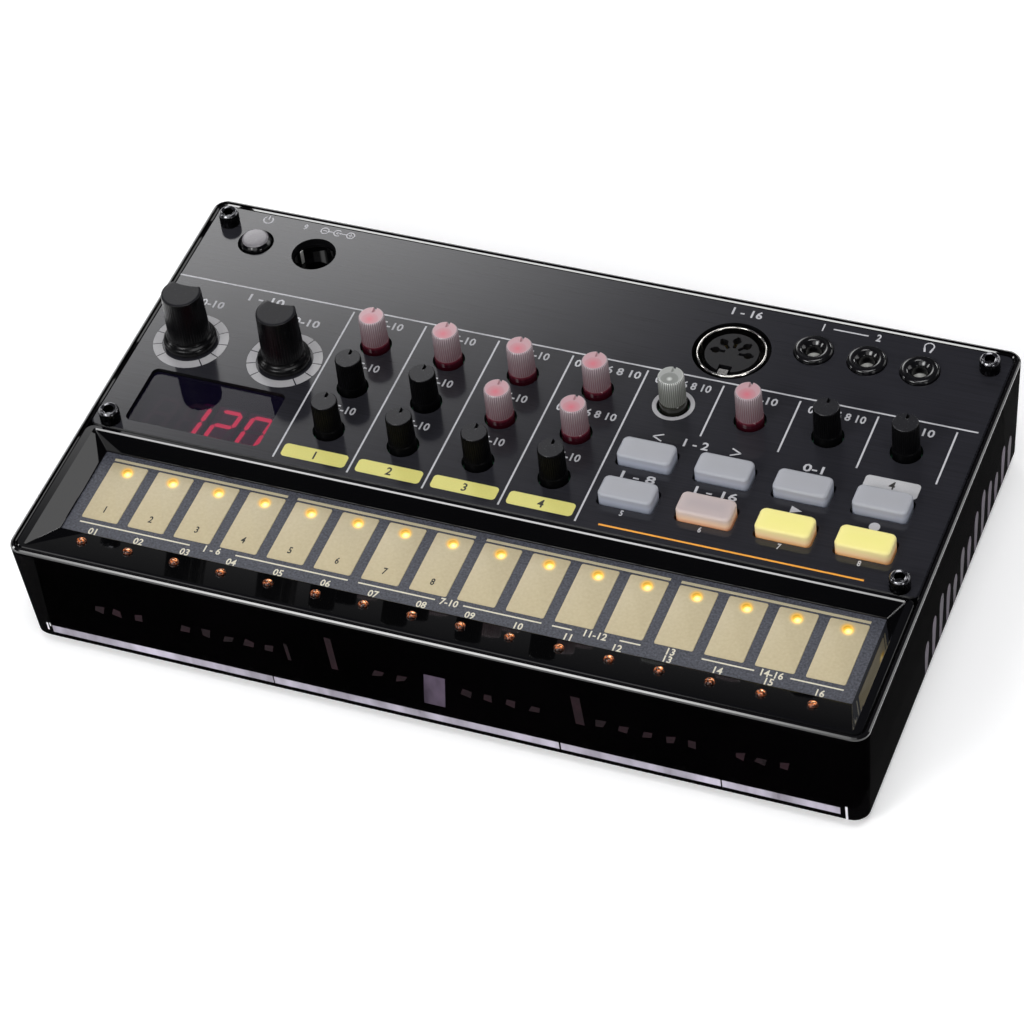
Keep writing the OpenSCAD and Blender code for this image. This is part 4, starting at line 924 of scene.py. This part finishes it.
panelPrint = {
    "acrossY": 31.75, "across": (-94.8, 93.6), "line": 0.4,
    "longColumns": [-51.2, -33.7, -16.15, 1.45, 19.0], "longY": (30.8, -16.1),
    "shortColumns": [36.55, 54.1, 71.7, 89.3], "shortY": (30.7, 14.8),
    "rings": {"places": dialPlaces, "inner": 6.5, "outer": 8.6, "first": -50, "step": 28, "gap": 2.2},
    "knobRing": ((27.83, 22.2), 3.75, 4.7),
    "tags": (15.1, 3.8, 0.9, -13.3), "functionTag": (74.4, 9.2, 86.6, 13.7), "functionY": 11.9,
    "tagText": (2.3, 0.9), "orange": (24.2, -15.6, 82.9, -15.6), "orangeLine": 0.45,
    # marks: chevrons, play triangle, record dot and the dash between the two sync sockets
    "chevrons": [(27.8, 1.1), (45.6, -1.1)], "chevronY": (13.2, 12.15, 11.1), "markLine": 0.34,
    "play": [(62.0, -1.45), (64.5, -0.45), (62.0, 0.6)], "record": ((80.5, -0.5), 1.2),
    "dash": (54.2, 53.8, 62.2, 53.8),
    # power mark, polarity mark and headphone mark, all of general use
    "power": {"arc": ((-82.3, 53.9), 0.95, 1.25, 125, 415), "strokes": [(-82.3, 54.0, -82.3, 55.3)],
              "line": 0.32},
    "polarity": {"y": 53.9, "ends": (-68.1, -61.7), "middle": -64.9, "ring": (0.78, 1.05), "open": (50, 310),
                 "dot": 0.35,
                 "strokes": [(-67.05, 53.9, -65.95, 53.9), (-64.9, 53.9, -62.75, 53.9),
                             (-68.6, 53.9, -67.6, 53.9),
                             (-62.2, 53.9, -61.2, 53.9), (-61.7, 53.4, -61.7, 54.4)], "line": 0.26},
    "phones": {"arc": ((76.0, 54.15), 0.9, 1.2, -35, 215),
               "strokes": [(75.05, 53.6, 75.4, 52.35), (76.95, 53.6, 76.6, 52.35)], "line": 0.44},
    # word, x, y, height, width
    "words": [("0-5-10", columnX[i], 28.8, 2.3, w)
              for i, w in ((0, 7.8), (1, 7.6), (2, 7.6), (5, 8.2), (7, 8.6))]
    + [("0 2 4 6 8 10", columnX[i], 28.8, 2.3, w) for i, w in ((3, 15.4), (4, 12.8), (6, 13.0))]
    + [("0-5-10", columnX[i], 15.1, 2.3, 7.4) for i in range(3)]
    + [("0 2 4 6 8 10", columnX[3], 15.1, 2.3, 13.8)]
    + [("0-5-10", columnX[i], 1.4, 2.3, 7.2) for i in range(4)]
    + [("1 - 10", -72.0, 29.0, 2.3, 8.6), ("0-10", -83.6, 24.7, 2.3, 5.6), ("0-10", -60.4, 24.7, 2.3, 6.4),
       ("9", -72.9, 53.9, 1.9, None), ("1 - 16", 34.3, 53.6, 2.3, 7.0), ("1", 51.9, 53.8, 2.2, None),
       ("2", 64.6, 53.8, 2.2, None), ("1 - 2", 36.6, 12.15, 2.3, 5.6), ("0-1", 63.0, 12.1, 2.3, 4.6),
       ("1 - 8", 27.8, -0.5, 2.3, 7.8), ("1 - 16", 45.4, -0.5, 2.3, 9.6)]
    + [(str(n), x, -11.3, 1.6, None) for n, x in zip((5, 6, 7, 8), columnX[4:])],
}


def disc(place, radius, around, low, high):
    # a round dot of ink
    return moved(shell(turned([(radius, low), (radius, high)], around)), place)


def printPanel(p):
    # grey lines, words and marks, then the scale rings, the tags with their numbers, and the orange line
    low, high = panelInk
    lines = [(p["across"][0], p["acrossY"], p["across"][1], p["acrossY"])]
    lines += [(x, p["longY"][0], x, p["longY"][1]) for x in p["longColumns"]]
    lines += [(x, p["shortY"][0], x, p["shortY"][1]) for x in p["shortColumns"]]
    grey = strokes(lines, p["line"], low, high) + [numbers(*word) for word in p["words"]]
    top, middle, bottom = p["chevronY"]
    for x, reach in p["chevrons"]:
        grey += strokes([(x + reach, top, x - reach, middle), (x - reach, middle, x + reach, bottom)],
                        p["markLine"], low, high)
    grey.append(slab(p["play"], low, high))
    grey.append(disc(*p["record"], 40, low, high))
    grey += strokes([p["dash"]], p["markLine"], low, high)
    for mark in (p["power"], p["polarity"], p["phones"]):
        if "arc" in mark:
            grey.append(arcBand(*mark["arc"], low, high))
        grey += strokes(mark["strokes"], mark["line"], low, high)
    m = p["polarity"]
    grey += [ringBand((x, m["y"]), *m["ring"], low, high) for x in m["ends"]]
    grey.append(arcBand((m["middle"], m["y"]), *m["ring"], *m["open"], low, high))
    grey.append(disc((m["middle"], m["y"]), m["dot"], 20, low, high))
    makePiece("panelPrint", grey, greyInk, "case", sharp=20)

    r = p["rings"]
    gaps = r["first"] + r["step"] * np.arange(11)
    starts, stops = gaps + r["gap"] / 2, np.append(gaps[1:], gaps[0] + 360) - r["gap"] / 2
    bands = [arcBand(place, r["inner"], r["outer"], a, b, low, high)
             for place in r["places"] for a, b in zip(starts, stops)]
    makePiece("scaleRings", bands + [ringBand(*p["knobRing"], low, high)], ringInk, "case", sharp=20)

    wide, deep, corner, y = p["tags"]
    tags = [tagPlate((x - wide / 2, y - deep / 2, x + wide / 2, y + deep / 2), corner, low, high)
            for x in columnX[:4]]
    makePiece("numberTags", tags, yellowInk, "case", sharp=20)
    makePiece("functionTag", [tagPlate(p["functionTag"], corner, low, high)], paleInk, "case", sharp=20)
    above = (high - 0.005, high + 0.02)
    tall, narrow = p["tagText"]
    words = [(str(n), x, y) for n, x in enumerate(columnX[:4], 1)] + [("4", columnX[7], p["functionY"])]
    makePiece("tagNumbers", [numbers(*word, tall, None, above, narrow) for word in words], darkInk, "case",
              sharp=20)
    makePiece("orangeLine", strokes([p["orange"]], p["orangeLine"], low, high), orangeInk, "case", sharp=20)


printPanel(panelPrint)

padPrint = {
    "bars": [(-86.8, -45.2), (-42.9, -1.3), (1.2, 42.8), (45.2, 86.7)], "barY": (-23.35, -22.65),
    "lines": [(-86.5, -60.2), (-49.4, -23.2), (-20.8, -3.2), (3.2, 20.8), (23.2, 27.6), (38.2, 42.8),
              (56.2, 67.6), (75.4, 86.8)],
    "lineY": -42.05, "line": 0.35, "numberY": -37.5, "stepY": -44.15, "tall": 1.9, "narrow": 0.9,
    "groups": [("1 - 6", -54.8), ("7-10", 0.0), ("11-12", 32.9), ("13", 49.5), ("14-16", 71.5)],
}


def printPads(p):
    # numbers on the first eight tiles; on the sheet group lines with their words, step numbers and tan bars
    tall, narrow = p["tall"], p["narrow"]
    makePiece("padNumbers", [numbers(str(n), x, p["numberY"], tall, None, padInk)
                             for n, x in enumerate(padX[:8], 1)],
              darkInk, "case", sharp=20)
    low, high = sheetInk
    cream = strokes([(a, p["lineY"], b, p["lineY"]) for a, b in p["lines"]], p["line"], low, high)
    cream += [numbers(word, x, p["lineY"], tall, None, sheetInk, narrow) for word, x in p["groups"]]
    cream += [numbers(f"{n:02d}", x, p["stepY"], tall, None, sheetInk, narrow) for n, x in enumerate(padX, 1)]
    makePiece("sheetPrint", cream, creamInk, "case", sharp=20)
    middle = sum(p["barY"]) / 2
    makePiece("sheetBars", strokes([(a, middle, b, middle) for a, b in p["bars"]],
                                   p["barY"][1] - p["barY"][0], low, high),
              tanInk, "case", sharp=20)


printPads(padPrint)

# Display: four leaning seven segment digits
digits = {"places": [-82.7, -75.2, -67.7, -60.2], "y": -7.1, "wide": 4.5, "high": 8.7, "stroke": 0.95,
          "gap": 0.12, "lean": 0.105, "shown": ["", "bc", "abged", "abcdef"], "level": (25.88, 26.15),
          "film": (-74.6, -12.7, -56.3, -1.5), "filmCorner": 0.8, "filmLevel": (25.88, 25.97)}


def segmentOutlines(d, names, x):
    # each segment is a long hexagon between two corners of the digit's frame; then x grows by lean*y
    w, h = d["wide"] / 2, d["high"] / 2
    ends = {"a": (-w, h, w, h), "b": (w, h, w, 0), "c": (w, 0, w, -h), "d": (-w, -h, w, -h),
            "e": (-w, 0, -w, -h), "f": (-w, h, -w, 0), "g": (-w, 0, w, 0)}
    outlines = []
    for name in names:
        start, stop = np.array(ends[name], float).reshape(2, 2)
        along = (stop - start) / np.linalg.norm(stop - start)
        side = np.array([-along[1], along[0]]) * d["stroke"] / 2
        a, b, cut = start + along * d["gap"], stop - along * d["gap"], along * d["stroke"] / 2
        hexagon = np.array([a, a + cut - side, b - cut - side, b, b - cut + side, a + cut + side])
        hexagon[:, 0] += d["lean"] * hexagon[:, 1]
        outlines.append(slab(hexagon + (x, d["y"]), *d["level"]))
    return outlines


lit = [part for x, names in zip(digits["places"], digits["shown"])
       for part in segmentOutlines(digits, names, x)]
unlit = [part for x, names in zip(digits["places"], digits["shown"])
         for part in segmentOutlines(digits, [name for name in "abcdefg" if name not in names], x)]
makePiece("litSegments", lit, litSegment, "case", sharp=20)
makePiece("unlitSegments", unlit, darkSegment, "case", sharp=20)
makePiece("digitFilm", [tagPlate(digits["film"], digits["filmCorner"], *digits["filmLevel"])], spiltRed,
          "case", sharp=20)
print("print and display made")


# A dim studio room: pale towards the floor, dark at eye level, grey above
world = bpy.data.worlds.new("studio")
bpy.context.scene.world = world
world.use_nodes = True
skyTree = world.node_tree
skyPlace = addNode(skyTree, "TexCoord").outputs["Generated"]
up = addNode(skyTree, "SeparateXYZ", links={"Vector": skyPlace}).outputs["Z"]
sky = addNode(skyTree, "ValToRGB", links={"Fac": up})
skyTree.links.new(rampStops(sky, [(0.0, "#c8c8c8"), (0.1, "#8c8c8c"), (0.2, "#26262a"), (0.45, "#3a3a40"),
                                  (1.0, "#4e4e56")]),
                  skyTree.nodes["Background"].inputs["Color"])
skyTree.nodes["Background"].inputs["Strength"].default_value = 1.0

floorFinish = grained("paleStudioFloor", "#f6f6f6", "#f9f9f9", 40, 0.01, Roughness=0.9)
# seen by the camera, in a mirror or through glass, the floor is lifted to white; it still keeps the shadow
floorLift = 0.3
floorTree = floorFinish.node_tree
path = addNode(floorTree, "LightPath")
seenBy = addNode(floorTree, "Math", {"operation": "ADD"},
                 {0: path.outputs["Is Camera Ray"], 1: path.outputs["Is Glossy Ray"]})
seenBy = addNode(floorTree, "Math", {"operation": "ADD", "use_clamp": True},
                 {0: seenBy.outputs[0], 1: path.outputs["Is Transmission Ray"]})
lift = addNode(floorTree, "Math", {"operation": "MULTIPLY", 1: floorLift}, {0: seenBy.outputs[0]})
floorShader = floorTree.nodes["Principled BSDF"]
floorShader.inputs["Emission Color"].default_value = (1, 1, 1, 1)
floorTree.links.new(lift.outputs[0], floorShader.inputs["Emission Strength"])
floorMesh = bpy.data.meshes.new("studioFloor")
floorMesh.from_pydata([(-6, -6, 0), (6, -6, 0), (6, 6, 0), (-6, 6, 0)], [], [(0, 1, 2, 3)])
floorMesh.materials.append(floorFinish)
studioFloor = bpy.data.objects.new("studioFloor", floorMesh)
bpy.context.scene.collection.objects.link(studioFloor)

# watts are set by what each lamp does: the softbox is mirrored by the panel, the four small ones draw the
# highlights along the case's and the well's edges
lamps = {
    "softbox": {"place": (-0.98, 1.51, 1.08), "size": (0.93, 1.18), "watts": 20.7, "fade": (0.39, 0.305)},
    "key": {"place": (-0.412, -0.966, 0.85), "size": (0.68, 0.42), "watts": 11.2, "fade": (0.335, 0.25)},
    "fill": {"place": (-0.2, -1.3, 1.0), "size": (1.8, 0.9), "watts": 6.0},
    "overhead": {"place": (0.3, -0.2, 1.8), "size": (1.0, 1.0), "watts": 15},
    "rim": {"place": (1.26, 1.08, 0.45), "size": (0.9, 0.6), "watts": 2.8},
    "edgeRight": {"place": (1.41, 1.06, 0.395), "size": (0.36, 0.1), "watts": 0.1},
    "edgeFront": {"place": (1.07, -0.79, 0.46), "size": (0.3, 0.3), "watts": 2.0},
    "edgeLeft": {"place": (-1.2, -0.23, 0.52), "size": (0.25, 0.25), "watts": 2.0},
    "edgeBack": {"place": (0.27, 1.43, 0.81), "size": (0.3, 0.2), "watts": 2.0},
}
for name, lamp in lamps.items():
    light = bpy.data.lights.new(name, "AREA")
    light.shape, light.energy = "RECTANGLE", lamp["watts"]
    light.size, light.size_y = lamp["size"]
    if "fade" in lamp:
        # strength = step(u)*step(1-u)*step(v)*step(1-v): each level-ended step takes a share of the side
        light.use_nodes = True
        tree = light.node_tree
        acrossLamp = addNode(tree, "NewGeometry").outputs["Parametric"]
        place = addNode(tree, "SeparateXYZ", links={"Vector": acrossLamp})
        strength = None
        for axis, share in zip(("X", "Y"), lamp["fade"]):
            for start, stop in ((0, share), (1, 1 - share)):
                limits = {"interpolation_type": "SMOOTHSTEP", "From Min": start, "From Max": stop}
                step = addNode(tree, "MapRange", limits, {"Value": place.outputs[axis]}).outputs["Result"]
                if strength is None:
                    strength = step
                else:
                    strength = addNode(tree, "Math", {"operation": "MULTIPLY"},
                                       {0: strength, 1: step}).outputs[0]
        tree.links.new(strength, tree.nodes["Emission"].inputs["Strength"])
    holder = bpy.data.objects.new(name, light)
    holder.location = lamp["place"]
    holder.rotation_euler = (-holder.location).to_track_quat("-Z", "Y").to_euler()
    bpy.context.scene.collection.objects.link(holder)

bpy.context.scene.view_settings.view_transform = "Standard"
print("stage and lamps placed")

# Nodes that keep their own mesh, and what each is made of
nodeFinishes = {
    "control_panel": satinPanel, "pad_sheet": texturedFilm, "display_window": smokedWindow,
    "display_module": moduleCase, "main_board": boardMask, "key_board": boardMask, "socket_board": boardMask,
    "flat_cable": cablePvc, "chips": epoxy, "capacitors": canSleeve, "pot_bodies": potPlastic,
    "switch_bodies": switchPlastic, "key_lights": ledResin, "knob_lights": redResin, "pad_lights": ledResin,
    "din_insert": pinNylon, "power_inlet": polishedBlack, "inlet_pin": nickel,
    "board_screws": zincSteel, "rubber_feet": footRubber, "battery_door": smokedCase,
    "battery_contacts": nickel, "speaker": coneFrame, "socket_contacts": brassTin,
}
for node, finish in nodeFinishes.items():
    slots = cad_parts[node].data.materials
    if len(slots) == 0:
        slots.append(finish)
    for i in range(len(slots)):
        slots[i] = finish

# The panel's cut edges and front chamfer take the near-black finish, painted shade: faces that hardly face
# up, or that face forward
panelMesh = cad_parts["control_panel"].data
facing, middles = np.empty(len(panelMesh.polygons) * 3), np.empty(len(panelMesh.polygons) * 3)
panelMesh.polygons.foreach_get("normal", facing)
panelMesh.polygons.foreach_get("center", middles)
facing, middles = facing.reshape(-1, 3), middles.reshape(-1, 3)
cut = (np.abs(facing[:, 2]) < 0.3) | ((facing[:, 1] < -0.5) & (middles[:, 1] < -17 * mm))
panelMesh.materials.append(cutEdgeShade)
panelMesh.polygons.foreach_set("material_index", cut.astype(np.int32) * (len(panelMesh.materials) - 1))
